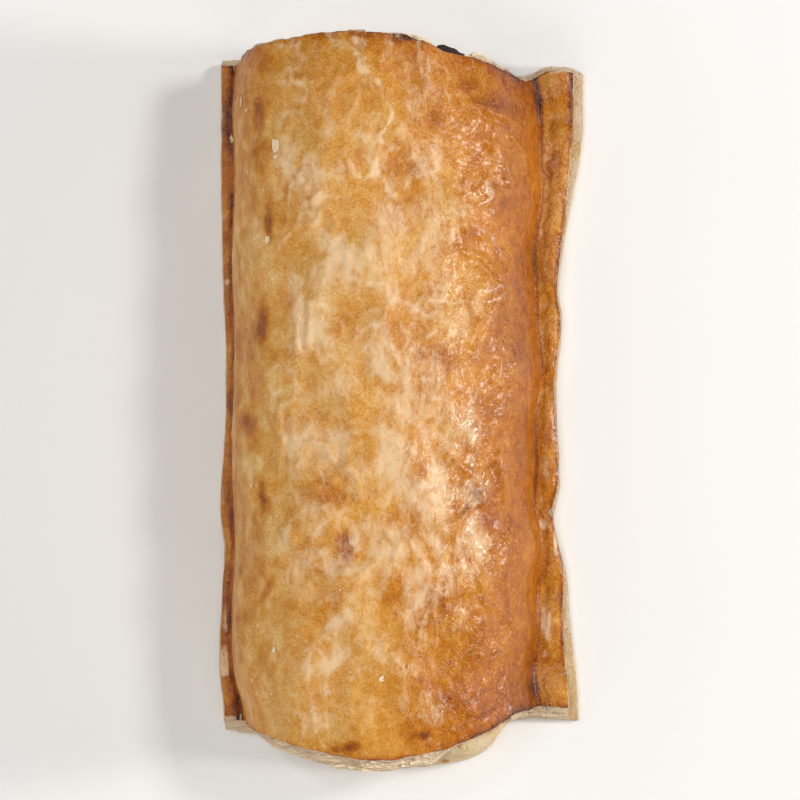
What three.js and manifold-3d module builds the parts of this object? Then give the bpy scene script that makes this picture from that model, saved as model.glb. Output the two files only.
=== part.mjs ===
// A baked sausage roll: a glazed sheet of puff pastry arched over sausage meat and
// pressed down along both long sides onto a paler bottom sheet, then cut straight
// across at both ends.
//
// Millimetres. X runs across the roll, Y along it and Z up from the table. The origin
// is on the table under the middle. The near end (-Y) is the one whose bottom sheet
// has puffed out as a pale tongue.
import * as THREE from "three";
import { mergeVertices } from "three/addons/utils/BufferGeometryUtils.js";
import Module from "manifold-3d";

const wasm = await Module();
wasm.setup();

// Driving sizes of the arched crust
const CREST_HEIGHT = 35; // table to the highest line of the crust
const CREST_X = -11; // the crest lies left of the middle
const CREST_NEAR = -70; // where the crest's two ends are
const CREST_FAR = 72;
const SEAM_LEFT_X = -34.4; // creases where the crust is pressed onto the bottom sheet
const SEAM_RIGHT_X = 28.2;
const SEAM_HEIGHT = 3.9; // top of the crust in the bottom of a crease
const CRUST = 4.6; // baked thickness of the top sheet over the filling
const STEEP_SIDE = 2.7; // superellipse powers: boxy on the left, sloping on the right
const SLOPING_SIDE = 1.8;
const END_SLUMP = 3.4; // how far the crest sinks at a cut end
const SLUMP_LENGTH = 7;
const BLISTER = 0.55; // height of the broad blisters of the crust

// The cut ends of the crust, a stack of leaves
const FLARE_NEAR = 2.6; // how far the lowest leaf stands out past the glazed top
const FLARE_FAR = 1.2;
const LEAF_STEP = 0.22; // leaves stand out and in by turns
const LEAF_RAGGED = 0.28; // and each is uneven along its edge

// The pressed rims outside the creases
const SHEET = 2.6; // bottom sheet, flat under the filling and the rims
const GAP = 0.3; // clearance between pieces
const RIM_UNDER = SHEET + GAP;
const RIM_PUFF_LEFT = 2.1; // the rim's crown above the crease
const RIM_PUFF_RIGHT = 2.9;
const RIM_EDGE_DROP = 1.3; // the cut edge's top below the rim's crown
const PINCHES = [61.5, 20, 1, -26, -45, -61]; // places along Y where the rim is nipped
const PINCH_DEPTH = 1.5;
const PINCH_LENGTH = 2.4;
const PALE_BAND = 0.5; // bottom sheet past the crust along the waist of the right rim
const PALE_BAND_CORNER = 1.7; // and more towards the corners
const PALE_BAND_LEFT = 0.3;

// Puffed lips of the bottom sheet at the ends
const LIP_START_NEAR = -67.2;
const LIP_START_FAR = 69.4;
const LIP_EDGE = 1.8; // height of the lip's outer edge
const LEAST_LIP = 0.6; // length of a lip where the sheet ends short
const LIP_BITE = 0.35; // how far the middle leaf of its edge lies back

// Filling
const MEAT_NEAR = -66.4;
const MEAT_FAR = 68.6;
const MEAT_BULGE = 1.6; // how far the upper part of the far face swells out
const MEAT_CRAG = 0.35;
const CHAR = { x: 10.2, height: 17.5, width: 4.6, tall: 4, reach: 3.2 }; // burnt lump

// Outlines seen from above, each a list of [place, offset]
const RIGHT_RIM = [
  [-66, 37.2], [-50, 35.6], [-40, 34.9], [-27, 32.2], [-19, 33.4], [2, 32.6],
  [16, 33.9], [24, 33.1], [36, 34.6], [58, 38], [68, 38.2],
];
const LEFT_RIM = [
  [-68, -36.8], [-58, -37.7], [-42, -37.2], [-33, -36.7], [-24, -37.6], [-6, -36.5],
  [10, -36.4], [32, -37.2], [70, -37.4],
];
const NEAR_CUT = [
  [-38, -66.2], [-30, -67], [-23, -68.6], [-8, -71.6], [6, -70.8], [18.4, -67],
  [25, -64], [37, -64.1],
];
const FAR_CUT = [
  [-38, 69.6], [-30, 69.9], [-24, 70.9], [-12, 72.5], [0, 72.3], [10.5, 71.4],
  [20.5, 67.6], [26, 66.2], [31, 68.2], [38, 68],
];
const TONGUE = [
  [-38, -67.6], [-29, -67.8], [-26, -71], [-22.5, -73.8], [-12, -75.6], [0, -76.6],
  [7, -76.6], [14, -75.2], [18.5, -72.8], [22.5, -67.8], [26, -66.6], [38, -67],
];
const TONGUE_HEIGHT = [
  [-26, SHEET], [-22, 7], [-8, 9.5], [4, 10.5], [12, 13.5], [18.5, 9], [23, SHEET],
];
const FAR_LIP = [
  [-38, 70.2], [-33, 70.7], [-24, 71.8], [-12, 73.4], [0, 73.2], [10.5, 72.2],
  [20.5, 68.4], [26, 67.2], [31, 69.2], [35, 69.7], [38, 68.4],
];
const FAR_LIP_HEIGHT = [[-27, SHEET], [-20, 7], [-6, 8], [12, 7], [20, SHEET]];

// Slow waves of the creases and the crest, along Y
const RIGHT_WAVES = [
  { size: 0.7, length: 44, shift: 4 },
  { size: 0.4, length: 19.5, shift: 0 },
];
const LEFT_WAVES = [{ size: 0.3, length: 38, shift: 0 }];
const CREST_WAVES = [
  { size: 0.5, length: 107, shift: 17 },
  { size: 0.3, length: 41, shift: 0 },
];
const LEFT_TUCK = { near: 2.2, far: 0.9, length: 12 }; // the left crease turns in there

// Cells of each piece, across by along by up
const CRUST_CELLS = { left: 3, arch: 28, right: 5, along: 54, layers: 4 };
const MEAT_CELLS = { across: 18, along: 20, up: 5 };
const SHEET_CELLS = { across: 28, nearLip: 5, inside: 22, farLip: 4, up: 3 };

const { sin, cos, PI, abs, sign, min, max, exp, hypot } = Math;
const { lerp, clamp, smoothstep } = THREE.MathUtils;
const bell = (distance, width) => exp(-((distance / width) ** 2));
const waves = (list, y) =>
  list.reduce((sum, w) => sum + w.size * sin((2 * PI * (y + w.shift)) / w.length), 0);

// A smooth curve through a list of [place, offset], flat past its ends.
function through(points, place) {
  const last = points.length - 1;
  if (place <= points[0][0]) return points[0][1];
  if (place >= points[last][0]) return points[last][1];
  const i = points.findIndex((p) => p[0] > place) - 1;
  const slope = (a, b) => (points[b][1] - points[a][1]) / (points[b][0] - points[a][0]);
  const span = points[i + 1][0] - points[i][0];
  const t = (place - points[i][0]) / span;
  const m0 = span * slope(max(i - 1, 0), i + 1);
  const m1 = span * slope(i, min(i + 2, last));
  return (
    (2 * t ** 3 - 3 * t ** 2 + 1) * points[i][1] + (t ** 3 - 2 * t ** 2 + t) * m0 +
    (3 * t ** 2 - 2 * t ** 3) * points[i + 1][1] + (t ** 3 - t ** 2) * m1
  );
}

// Lines along the roll
const seamRight = (y) => SEAM_RIGHT_X + waves(RIGHT_WAVES, y);
function seamLeft(y) {
  const { near, far, length } = LEFT_TUCK;
  const tuckNear = near * (1 - smoothstep(y, CREST_NEAR, CREST_NEAR + length));
  const tuckFar = far * smoothstep(y, CREST_FAR - length, CREST_FAR);
  return SEAM_LEFT_X + waves(LEFT_WAVES, y) + tuckNear + tuckFar;
}
function crest(y) {
  const slump = (distance) => END_SLUMP * exp(-max(distance, 0) / SLUMP_LENGTH);
  return CREST_HEIGHT + waves(CREST_WAVES, y) - slump(y - CREST_NEAR) - slump(CREST_FAR - y);
}
const pinch = (y) => PINCHES.reduce((sum, at) => sum + bell(y - at, PINCH_LENGTH), 0);
const paleBand = (y) => PALE_BAND + PALE_BAND_CORNER * smoothstep(abs(y), 28, 62);

// Broad blisters that lift and dent the crust: pillows some 15 mm wide, and folds that
// run along the roll and wander from side to side.
function blisters(x, y) {
  const pillow = sin(x * 0.23 + 1.3 * sin(y * 0.11)) * sin(y * 0.19 + 1.1 * sin(x * 0.15));
  const fold = sin(x * 0.52 + y * 0.09 + 2 * sin(y * 0.06 + 1));
  return BLISTER * (pillow + 0.35 * fold);
}

// The arch over the filling, from the left crease (angle 0) to the right one (PI), set
// in by `depth` and standing on `foot`; it gives the point and the way out of the crust.
function arch(angle, y, depth, foot) {
  const onLeft = cos(angle) > 0;
  const power = onLeft ? STEEP_SIDE : SLOPING_SIDE;
  const half = (onLeft ? CREST_X - seamLeft(y) : seamRight(y) - CREST_X) - depth;
  const rise = crest(y) - depth - foot;
  const across = abs(cos(angle)) ** (2 / power);
  const up = max(sin(angle), 0) ** (2 / power);
  const outX = -sign(cos(angle)) * across ** (power - 1) / half;
  const outZ = up ** (power - 1) / rise;
  const length = hypot(outX, outZ);
  return {
    x: CREST_X - sign(cos(angle)) * half * across,
    z: foot + rise * up,
    outX: outX / length,
    outZ: outZ / length,
  };
}

// Angles round the arch at which its points lie an even distance apart.
function evenAngles(cells) {
  const steps = 720;
  const length = [0];
  let before = arch(0, 0, 0, SEAM_HEIGHT);
  for (let i = 1; i <= steps; i++) {
    const here = arch((PI * i) / steps, 0, 0, SEAM_HEIGHT);
    length.push(length[i - 1] + hypot(here.x - before.x, here.z - before.z));
    before = here;
  }
  return Array.from({ length: cells + 1 }, (_, cell) => {
    const wanted = (length[steps] * cell) / cells;
    const i = clamp(length.findIndex((l) => l >= wanted), 1, steps);
    return (PI * (i - (length[i] - wanted) / (length[i] - length[i - 1]))) / steps;
  });
}

// Keeps only positions, so that neighbouring faces share their vertices.
function merged(geometry) {
  geometry.deleteAttribute("normal");
  geometry.deleteAttribute("uv");
  return mergeVertices(geometry, 1e-5);
}

// A block of cells whose every vertex is moved by place(i, j, k, point) to its point,
// where i, j and k count cells across, along and up.
function moulded(across, along, up, place) {
  const block = new THREE.BoxGeometry(across, along, up, across, along, up);
  block.translate(across / 2, along / 2, up / 2);
  const position = block.getAttribute("position");
  const point = new THREE.Vector3();
  for (let n = 0; n < position.count; n++) {
    point.fromBufferAttribute(position, n).round();
    place(point.x, point.y, point.z, point);
    position.setXYZ(n, point.x, point.y, point.z);
  }
  return merged(block);
}

function solid(geometry) {
  const vertProperties = new Float32Array(geometry.getAttribute("position").array);
  const triVerts = new Uint32Array(geometry.index.array);
  return new wasm.Manifold(new wasm.Mesh({ numProp: 3, vertProperties, triVerts }));
}

function geometryOf(manifold) {
  const mesh = manifold.getMesh();
  const geometry = new THREE.BufferGeometry();
  geometry.setAttribute("position", new THREE.BufferAttribute(mesh.vertProperties, 3));
  geometry.setIndex(new THREE.BufferAttribute(mesh.triVerts, 1));
  return geometry;
}

// Where a point of the crust lies along the roll: `share` runs from the near cut to the
// far one, and the deeper leaves stand out past the glazed top.
function alongCrust(x, share, depth, leaf) {
  const uneven = LEAF_RAGGED * sin(x * 0.9 + leaf * 2.4) + LEAF_STEP * (leaf % 2 ? 1 : -1);
  const ragged = depth > 0 ? uneven : 0;
  const near = through(NEAR_CUT, x) - FLARE_NEAR * depth - ragged;
  const far = through(FAR_CUT, x) + FLARE_FAR * depth + ragged;
  return lerp(near, far, share);
}

// The pressed rims, across from the crease (share 0) to the cut edge (share 1): they
// puff up at once, and fall a little to the edge.
function rim(share, y, onLeft) {
  const leftEdge = through(LEFT_RIM, y) + PALE_BAND_LEFT;
  const edge = onLeft ? leftEdge : through(RIGHT_RIM, y) - paleBand(y);
  const crease = onLeft ? seamLeft(y) : seamRight(y);
  const puff = (onLeft ? RIM_PUFF_LEFT : RIM_PUFF_RIGHT) * sin(min(0.8 * share, 0.5) * PI);
  const nip = onLeft ? 0 : PINCH_DEPTH * min(pinch(y), 1) * sin(PI * share) ** 0.5;
  const z = SEAM_HEIGHT + puff - RIM_EDGE_DROP * share ** 3 - nip;
  return { x: lerp(crease, edge, share), z };
}

// The top sheet as one block: its leaves follow the arch and come together at the
// creases. Its lowest level is sunk, so that it can be cut off flat above the sheet.
function topSheet() {
  const { left, arch: arched, right, along, layers } = CRUST_CELLS;
  const angles = evenAngles(arched);
  const levels = layers + 1;
  const sunk = RIM_UNDER - 1;
  return moulded(left + arched + right, along, levels, (i, j, k, point) => {
    const share = j / along;
    const y = lerp(CREST_NEAR, CREST_FAR, share);
    const depth = (levels - k) / levels;
    let x, z;
    if (i > left && i < left + arched) {
      const angle = angles[i - left];
      const outer = arch(angle, y, 0, SEAM_HEIGHT);
      const free = smoothstep(sin(angle), 0, 0.5);
      const inset = (CRUST + 1) * min((levels - k) / layers, 1) * free;
      const lift = blisters(outer.x, y) * smoothstep(sin(angle), 0.1, 0.6) - inset;
      x = outer.x + outer.outX * lift;
      z = outer.z + outer.outZ * lift - (SEAM_HEIGHT - sunk) * depth * (1 - free);
    } else {
      const onLeft = i <= left;
      const top = rim(onLeft ? 1 - i / left : (i - left - arched) / right, y, onLeft);
      x = top.x;
      z = lerp(top.z, sunk, depth);
    }
    point.set(x, alongCrust(x, share, depth, k), k === 0 ? sunk : z);
  });
}

// Everything of a solid that lies above a level.
function above(level, manifold) {
  const size = 400;
  const below = new THREE.BoxGeometry(size, size, size).translate(0, 0, level - size / 2);
  return manifold.subtract(solid(merged(below)));
}

// The filling's own form, and the tunnel that it needs in the crust: the same form with
// no clearance, which runs on through both ends and the floor.
function core(clearance, tunnel) {
  const { across, along, up } = MEAT_CELLS;
  const angles = evenAngles(across);
  const runOut = tunnel ? 1 : 0;
  const floor = tunnel ? 0 : RIM_UNDER;
  return moulded(across, along + 2 * runOut, up, (i, j, k, point) => {
    const share = (j - runOut) / along;
    const y = lerp(MEAT_NEAR, MEAT_FAR, clamp(share, 0, 1));
    const roof = arch(angles[i], y, CRUST + clearance, RIM_UNDER);
    const z = lerp(floor, max(roof.z, RIM_UNDER + GAP), k / up);
    const swell = meatFace(roof.x, z, share) * (1 - (k / up) ** 6);
    const past = 20 * ((share > 1) - (share < 0));
    point.set(roof.x, y + (tunnel ? past : swell), z);
  });
}

// How far a point of an end face stands out: crags, a swollen upper part at the far
// end, and there a burnt lump that pushes out under the crust.
function meatFace(x, z, share) {
  const crag = MEAT_CRAG * sin(x * 1.1 + z * 0.4) * sin(z * 0.9 - x * 0.35);
  if (share === 0) return crag;
  if (share < 1) return 0;
  const burnt = CHAR.reach * bell(x - CHAR.x, CHAR.width) * bell(z - CHAR.height, CHAR.tall);
  return crag + MEAT_BULGE * smoothstep(z, 10, 20) + burnt;
}

// A lip of the bottom sheet: how high its top is at a share of the way out to its edge,
// where the sheet runs `reach` past the end of the filling.
function lipTop(share, reach, height) {
  const free = smoothstep(reach, 0.8, 3.5);
  const base = lerp(SHEET, LIP_EDGE, smoothstep(share, 0.5, 1));
  return base + (height - SHEET) * free * sin(PI * share ** 0.8) ** 0.7;
}

// The bottom sheet, flat inside and with a puffed lip at each end.
function bottomSheet() {
  const { across, nearLip, inside, farLip, up } = SHEET_CELLS;
  const rows = nearLip + inside + farLip;
  return moulded(across, rows, up, (i, j, k, point) => {
    const share = (j - nearLip) / inside;
    const yRough = lerp(CREST_NEAR, CREST_FAR, clamp(share, 0, 1));
    const x = lerp(through(LEFT_RIM, yRough), through(RIGHT_RIM, yRough), i / across);
    const nearEdge = through(TONGUE, x);
    const farEdge = through(FAR_LIP, x);
    const nearStart = max(LIP_START_NEAR, nearEdge + LEAST_LIP);
    const farStart = min(LIP_START_FAR, farEdge - LEAST_LIP);
    let y = lerp(nearStart, farStart, clamp(share, 0, 1));
    let z = SHEET;
    if (share < 0) {
      const out = 1 - j / nearLip;
      y = lerp(nearStart, nearEdge, out);
      z = lipTop(out, nearStart - nearEdge, through(TONGUE_HEIGHT, x));
    }
    if (share > 1) {
      const out = (j - nearLip - inside) / farLip;
      y = lerp(farStart, farEdge, out);
      z = lipTop(out, farEdge - farStart, through(FAR_LIP_HEIGHT, x));
    }
    const bite = k === up - 1 ? LIP_BITE * ((j === 0) - (j === rows)) : 0;
    point.set(x, y + bite, (z * k) / up);
  });
}

const tunnelled = solid(topSheet()).subtract(solid(core(0, true)));

const pieces = [
  {
    name: "top_pastry",
    geometry: geometryOf(above(RIM_UNDER, tunnelled)),
    colour: 0xc98a45,
    roughness: 0.35,
  },
  {
    name: "bottom_pastry",
    geometry: bottomSheet(),
    colour: 0xdcc394,
    roughness: 0.75,
  },
  {
    name: "filling",
    geometry: core(GAP, false),
    colour: 0x8a5a40,
    roughness: 0.7,
  },
];

const roll = new THREE.Group();
for (const { name, geometry, colour, roughness } of pieces) {
  const material = new THREE.MeshStandardMaterial({ color: colour, roughness, metalness: 0 });
  const mesh = new THREE.Mesh(geometry, material);
  mesh.name = name;
  roll.add(mesh);
}

export default roll;
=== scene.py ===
# %% [markdown]
# # A baked sausage roll
# A glazed sheet of puff pastry is arched over sausage meat, pressed down along both
# long sides onto a paler bottom sheet, and cut across at both ends. The oven did the
# rest: blisters, folds, scorched spots and pale dry patches. The solids from the
# frame say where everything is, and this lesson gives each of them its real surface.

# %% Load the frame
import math

import bmesh
import bpy
import numpy as np
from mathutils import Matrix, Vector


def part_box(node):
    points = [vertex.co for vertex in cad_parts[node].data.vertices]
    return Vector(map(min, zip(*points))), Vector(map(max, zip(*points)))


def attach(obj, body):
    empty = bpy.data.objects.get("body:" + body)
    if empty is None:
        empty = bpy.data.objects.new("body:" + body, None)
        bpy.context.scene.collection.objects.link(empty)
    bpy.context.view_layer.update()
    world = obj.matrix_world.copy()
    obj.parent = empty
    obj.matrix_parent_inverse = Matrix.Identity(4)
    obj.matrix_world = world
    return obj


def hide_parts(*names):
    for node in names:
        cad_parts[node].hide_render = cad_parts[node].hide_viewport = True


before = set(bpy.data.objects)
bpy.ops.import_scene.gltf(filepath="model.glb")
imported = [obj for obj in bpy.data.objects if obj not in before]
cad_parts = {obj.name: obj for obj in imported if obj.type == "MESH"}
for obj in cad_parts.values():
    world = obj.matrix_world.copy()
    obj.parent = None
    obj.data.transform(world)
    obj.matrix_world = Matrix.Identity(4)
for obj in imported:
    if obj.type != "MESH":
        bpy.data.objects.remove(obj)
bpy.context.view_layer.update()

MM = 0.001
TOP, BOTTOM, MEAT = "top_pastry", "bottom_pastry", "filling"
boxes = {node: np.array(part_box(node)) / MM for node in (TOP, BOTTOM, MEAT)}
for node, box in boxes.items():
    print(node, "reaches from", box[0].round(1), "to", box[1].round(1), "mm")

# %% [markdown]
# ## The driving sizes
# They are in millimetres, with X across the roll, Y along it and Z up, as in the
# frame. The two creases, the crest and the outlines seen from above shape everything
# else, so that all pieces fit each other.

# %% Sizes of the arch
CREST_HEIGHT, CREST_X = 35.0, -11.0
CREST_NEAR, CREST_FAR = -70.0, 72.0
SEAM_LEFT_X, SEAM_RIGHT_X, SEAM_HEIGHT = -34.4, 28.2, 3.9
STEEP_SIDE, SLOPING_SIDE = 2.7, 1.8
END_SLUMP, SLUMP_LENGTH = 3.4, 7.0
BLISTER = 0.55
print("the crest is", CREST_HEIGHT, "mm high and", CREST_FAR - CREST_NEAR, "mm long")

# %% Sizes of the two sheets and of the pressed rims
CRUST, SHEET, GAP = 4.6, 2.6, 0.3
FLARE_NEAR, FLARE_FAR = 2.6, 1.2
RIM_UNDER = SHEET + GAP
RIM_PUFF_LEFT, RIM_PUFF_RIGHT, RIM_EDGE_DROP = 2.1, 2.9, 1.3
PINCHES = (61.5, 20.0, 1.0, -26.0, -45.0, -61.0)
PINCH_DEPTH, PINCH_LENGTH = 1.2, 3.2
PALE_BAND, PALE_BAND_CORNER, PALE_BAND_LEFT = 0.5, 1.7, 0.3
LIP_START_NEAR, LIP_START_FAR, LIP_EDGE, LEAST_LIP = -67.2, 69.4, 1.8, 0.6

# %% Sizes of the meat and of its scorched lump
MEAT_NEAR, MEAT_FAR, MEAT_BULGE = -66.4, 68.6, 1.6
CHAR_X, CHAR_HEIGHT, CHAR_WIDTH, CHAR_TALL, CHAR_REACH = 10.2, 17.5, 4.6, 4.0, 3.2
CHAR_BITE = 1.5

# %% Outlines seen from above, as (place, offset)
RIGHT_RIM = ((-66, 37.2), (-50, 35.6), (-40, 34.9), (-27, 32.2), (-19, 33.4), (2, 32.6),
             (16, 33.9), (24, 33.1), (36, 34.6), (58, 38), (68, 38.2))
LEFT_RIM = ((-68, -36.8), (-58, -37.7), (-42, -37.2), (-33, -36.7), (-24, -37.6),
            (-6, -36.5), (10, -36.4), (32, -37.2), (70, -37.4))
NEAR_CUT = ((-38, -66.2), (-30, -67), (-23, -68.6), (-8, -71.6), (6, -70.8), (18.4, -67),
            (25, -64), (37, -64.1))
FAR_CUT = ((-38, 69.6), (-30, 69.9), (-24, 70.9), (-12, 72.5), (0, 72.3), (10.5, 71.4),
           (20.5, 67.6), (26, 66.2), (31, 68.2), (38, 68))
TONGUE = ((-38, -67.6), (-29, -67.8), (-26, -71), (-22.5, -73.8), (-12, -75.6), (0, -76.6),
          (7, -76.6), (14, -75.2), (18.5, -72.8), (22.5, -67.8), (26, -66.6), (38, -67))
TONGUE_HEIGHT = ((-26, SHEET), (-22, 7), (-8, 9.5), (4, 10.5), (12, 13.5), (18.5, 9),
                 (23, SHEET))
FAR_LIP = ((-38, 70.2), (-33, 70.7), (-24, 71.8), (-12, 73.4), (0, 73.2), (10.5, 72.2),
           (20.5, 68.4), (26, 67.2), (31, 69.2), (35, 69.7), (38, 68.4))
FAR_LIP_HEIGHT = ((-27, SHEET), (-20, 7), (-6, 8), (12, 7), (20, SHEET))

# %% [markdown]
# ## Curves and waves
# A smooth curve through a few points gives each outline. numpy works out all the
# points of a mesh in one go, which keeps even a fine surface quick to make.

# %% Small helpers
def smooth(value, start, end):
    """0 before start, 1 after end, and an even slope between; start may be the larger."""
    share = np.clip((value - start) / (end - start), 0, 1)
    return share * share * (3 - 2 * share)


def steps(rows, value):
    """Sum of such slopes; a row is (height, start, end)."""
    return sum(height * smooth(value, start, end) for height, start, end in rows)


def mix(a, b, share):
    return a + (b - a) * share


def bell(distance, width):
    return np.exp(-((distance / width) ** 2))


def through(points, place):
    """A smooth curve through (place, offset) points, flat past its ends."""
    at, value = np.array(points, float).T
    slope = np.empty(len(at))
    slope[1:-1] = (value[2:] - value[:-2]) / (at[2:] - at[:-2])
    slope[0] = (value[1] - value[0]) / (at[1] - at[0])
    slope[-1] = (value[-1] - value[-2]) / (at[-1] - at[-2])
    place = np.clip(place, at[0], at[-1])
    i = np.clip(np.searchsorted(at, place, side="right") - 1, 0, len(at) - 2)
    span = at[i + 1] - at[i]
    t = (place - at[i]) / span
    return ((2 * t ** 3 - 3 * t ** 2 + 1) * value[i] + (t ** 3 - 2 * t ** 2 + t) * span * slope[i]
            + (3 * t ** 2 - 2 * t ** 3) * value[i + 1] + (t ** 3 - t ** 2) * span * slope[i + 1])


def wave(y, size, length, shift=0.0):
    return size * np.sin(2 * np.pi * (y + shift) / length)


# %% Creases, crest and nips along the roll
def seam_right(y):
    return SEAM_RIGHT_X + wave(y, 0.7, 44, 4) + wave(y, 0.4, 19.5)


def seam_left(y):
    tuck_near = 2.2 * smooth(y, CREST_NEAR + 12, CREST_NEAR)
    tuck_far = 0.9 * smooth(y, CREST_FAR - 12, CREST_FAR)
    return SEAM_LEFT_X + wave(y, 0.3, 38) + tuck_near + tuck_far


def crest(y):
    slump = sum(np.exp(-np.maximum(d, 0) / SLUMP_LENGTH) for d in (y - CREST_NEAR, CREST_FAR - y))
    return CREST_HEIGHT + wave(y, 0.5, 107, 17) + wave(y, 0.3, 41) - END_SLUMP * slump


def pinch(y):
    return sum(bell(y - at, PINCH_LENGTH) for at in PINCHES)


def pale_band(y):
    return PALE_BAND + PALE_BAND_CORNER * smooth(np.abs(y), 28, 62)


places = np.array([CREST_NEAR, 0, CREST_FAR])
print("crest at both ends and the middle:", crest(places).round(1))

# %% [markdown]
# ## Noise
# Baked dough is uneven at every scale. Lattice noise gives a random height to every
# point of a square lattice and blends between them, and adding finer and finer
# lattices gives the fractal unevenness of a blistered crust. The same seed gives the
# same roll each time, and two layers with different seeds have nothing in common.

# %% Lattice noise
def lattice(i, j, seed):
    mixed = (i * 374761393 + j * 668265263 + seed * 2246822519) & 0xFFFFFFFF
    mixed = ((mixed ^ (mixed >> 13)) * 1274126177) & 0xFFFFFFFF
    return ((mixed ^ (mixed >> 16)) & 0xFFFF) / 32767.5 - 1


def noise(x, y, size, seed):
    """Smooth noise from -1 to 1 whose bumps are about `size` mm wide."""
    x, y = x / size, y / size
    i, j = np.floor(x).astype(np.int64), np.floor(y).astype(np.int64)
    u, v = smooth(x - i, 0, 1), smooth(y - j, 0, 1)
    low = mix(lattice(i, j, seed), lattice(i + 1, j, seed), u)
    high = mix(lattice(i, j + 1, seed), lattice(i + 1, j + 1, seed), u)
    return mix(low, high, v)


def fractal(x, y, size, seed, octaves=4):
    """Noise upon noise: each octave is half as wide and half as high as the one before."""
    total = sum(0.5 ** n * noise(x, y, size * 0.5 ** n, seed + 17 * n) for n in range(octaves))
    return total / (2 - 0.5 ** (octaves - 1))


def layers(rows, x, y):
    """Sum of fractals; a row is (height, squeeze in x, squeeze in y, size, seed, octaves)."""
    return sum(height * fractal(x * squeeze_x, y * squeeze_y, size, seed, octaves)
               for height, squeeze_x, squeeze_y, size, seed, octaves in rows)


def ridged(x, y, size, seed):
    """Sharp, wandering crests, as of crinkled skin: 1 on a crest, 0 away from it."""
    bend = size * 0.9
    warped_x = x + bend * noise(x, y, size * 1.7, seed + 5)
    warped_y = y + bend * noise(x, y, size * 1.7, seed + 6)
    return (1 - np.abs(noise(warped_x, warped_y, size, seed))) ** 3

# %% [markdown]
# ## What the oven did, place by place
# Each mark of the real crust is a soft patch: its middle (x, y) as seen from above,
# its half-widths across and along, its turn in degrees and its strength. Patches of
# one list are added up.

# %% Soft patches
def patches(marks, x, y, ragged=0.0):
    """Sum of soft patches; `ragged` makes their borders wander."""
    total = np.zeros_like(x)
    shift = ragged * fractal(x, y, 5.0, 71)
    for mark_x, mark_y, wide, long, turn, strength in marks:
        angle = math.radians(turn)
        dx, dy = x - mark_x, y - mark_y
        across = (dx * math.cos(angle) + dy * math.sin(angle)) / wide
        along = (dy * math.cos(angle) - dx * math.sin(angle)) / long
        total += strength * np.exp(-((across ** 2 + along ** 2) * (1 + shift)) ** 1.5)
    return total


def strokes(lines, x, y, wander=0.5):
    """Height 1 along given lines of (x, y) points, each with its half-width."""
    total = np.zeros_like(x)
    x = x + wander * noise(x, y, 2.2, 81) + 0.5 * wander * noise(x, y, 0.9, 83)
    y = y + wander * noise(x, y, 2.2, 82)
    for width, points in lines:
        nearest = np.full_like(x, 1e9)
        for (ax, ay), (bx, by) in zip(points, points[1:]):
            dx, dy = bx - ax, by - ay
            share = np.clip(((x - ax) * dx + (y - ay) * dy) / (dx * dx + dy * dy), 0, 1)
            nearest = np.minimum(nearest, np.hypot(x - ax - share * dx, y - ay - share * dy))
        total = np.maximum(total, np.exp(-((nearest / width) ** 2)))
    return total


# %% Browner places of the crust
BROWN_MARKS = (
    (-28, 56.5, 1.0, 3.4, 3, 0.36), (-26.4, 34.8, 0.9, 3.2, 2, 0.36), (-27.4, 14.8, 0.9, 3.2, -2, 0.32),
    (-27.4, -18.8, 0.9, 3.4, 2, 0.28), (-26.6, -38, 0.9, 3.2, -25, 0.30), (-30.4, -5, 1.6, 2.4, 20, 0.26),
    (-10.6, -29.4, 2.0, 3.6, 6, 0.36), (-13.6, -18.8, 3.6, 3.0, 0, 0.18), (-10.4, 14.6, 3.2, 3.2, 0, 0.18),
    (-0.6, 48.6, 2.0, 3.0, 0, 0.16), (3, 46, 2.2, 2.2, 0, 0.18), (13.5, 63.5, 2.0, 1.6, 0, 0.12),
    (7, 56, 2.0, 2.0, 0, 0.12), (10, 8.5, 5.4, 3.4, -8, 0.15), (12.5, 32, 3.8, 3.2, 20, 0.16),
    (-7.6, 48.5, 1.6, 1.8, 30, 0.14), (-2, -38.5, 4.0, 2.4, 10, 0.12), (-14, -41, 3.0, 4.2, 0, 0.1),
    (20, 60, 5.0, 1.4, -8, 0.10), (8, -40, 6.0, 4.0, 0, 0.12), (16, -20, 2.4, 7.0, 20, 0.12),
    (25, -5, 2.0, 16, 0, 0.05), (25, 25, 2.0, 12, 0, 0.05), (-9.6, -69.0, 1.9, 1.1, 8, 0.4),
    (4.8, -67.2, 1.8, 0.8, -12, 0.26), (-12.8, -69.6, 1.0, 0.6, 0, 0.3), (17, -63.6, 3.0, 0.7, 22, 0.12),
    (-20, 64.5, 3.2, 1.0, 0, 0.12), (16, -2, 2.0, 4.0, 10, 0.10), (10, -60, 3.0, 3.0, 0, 0.10),
)
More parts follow.
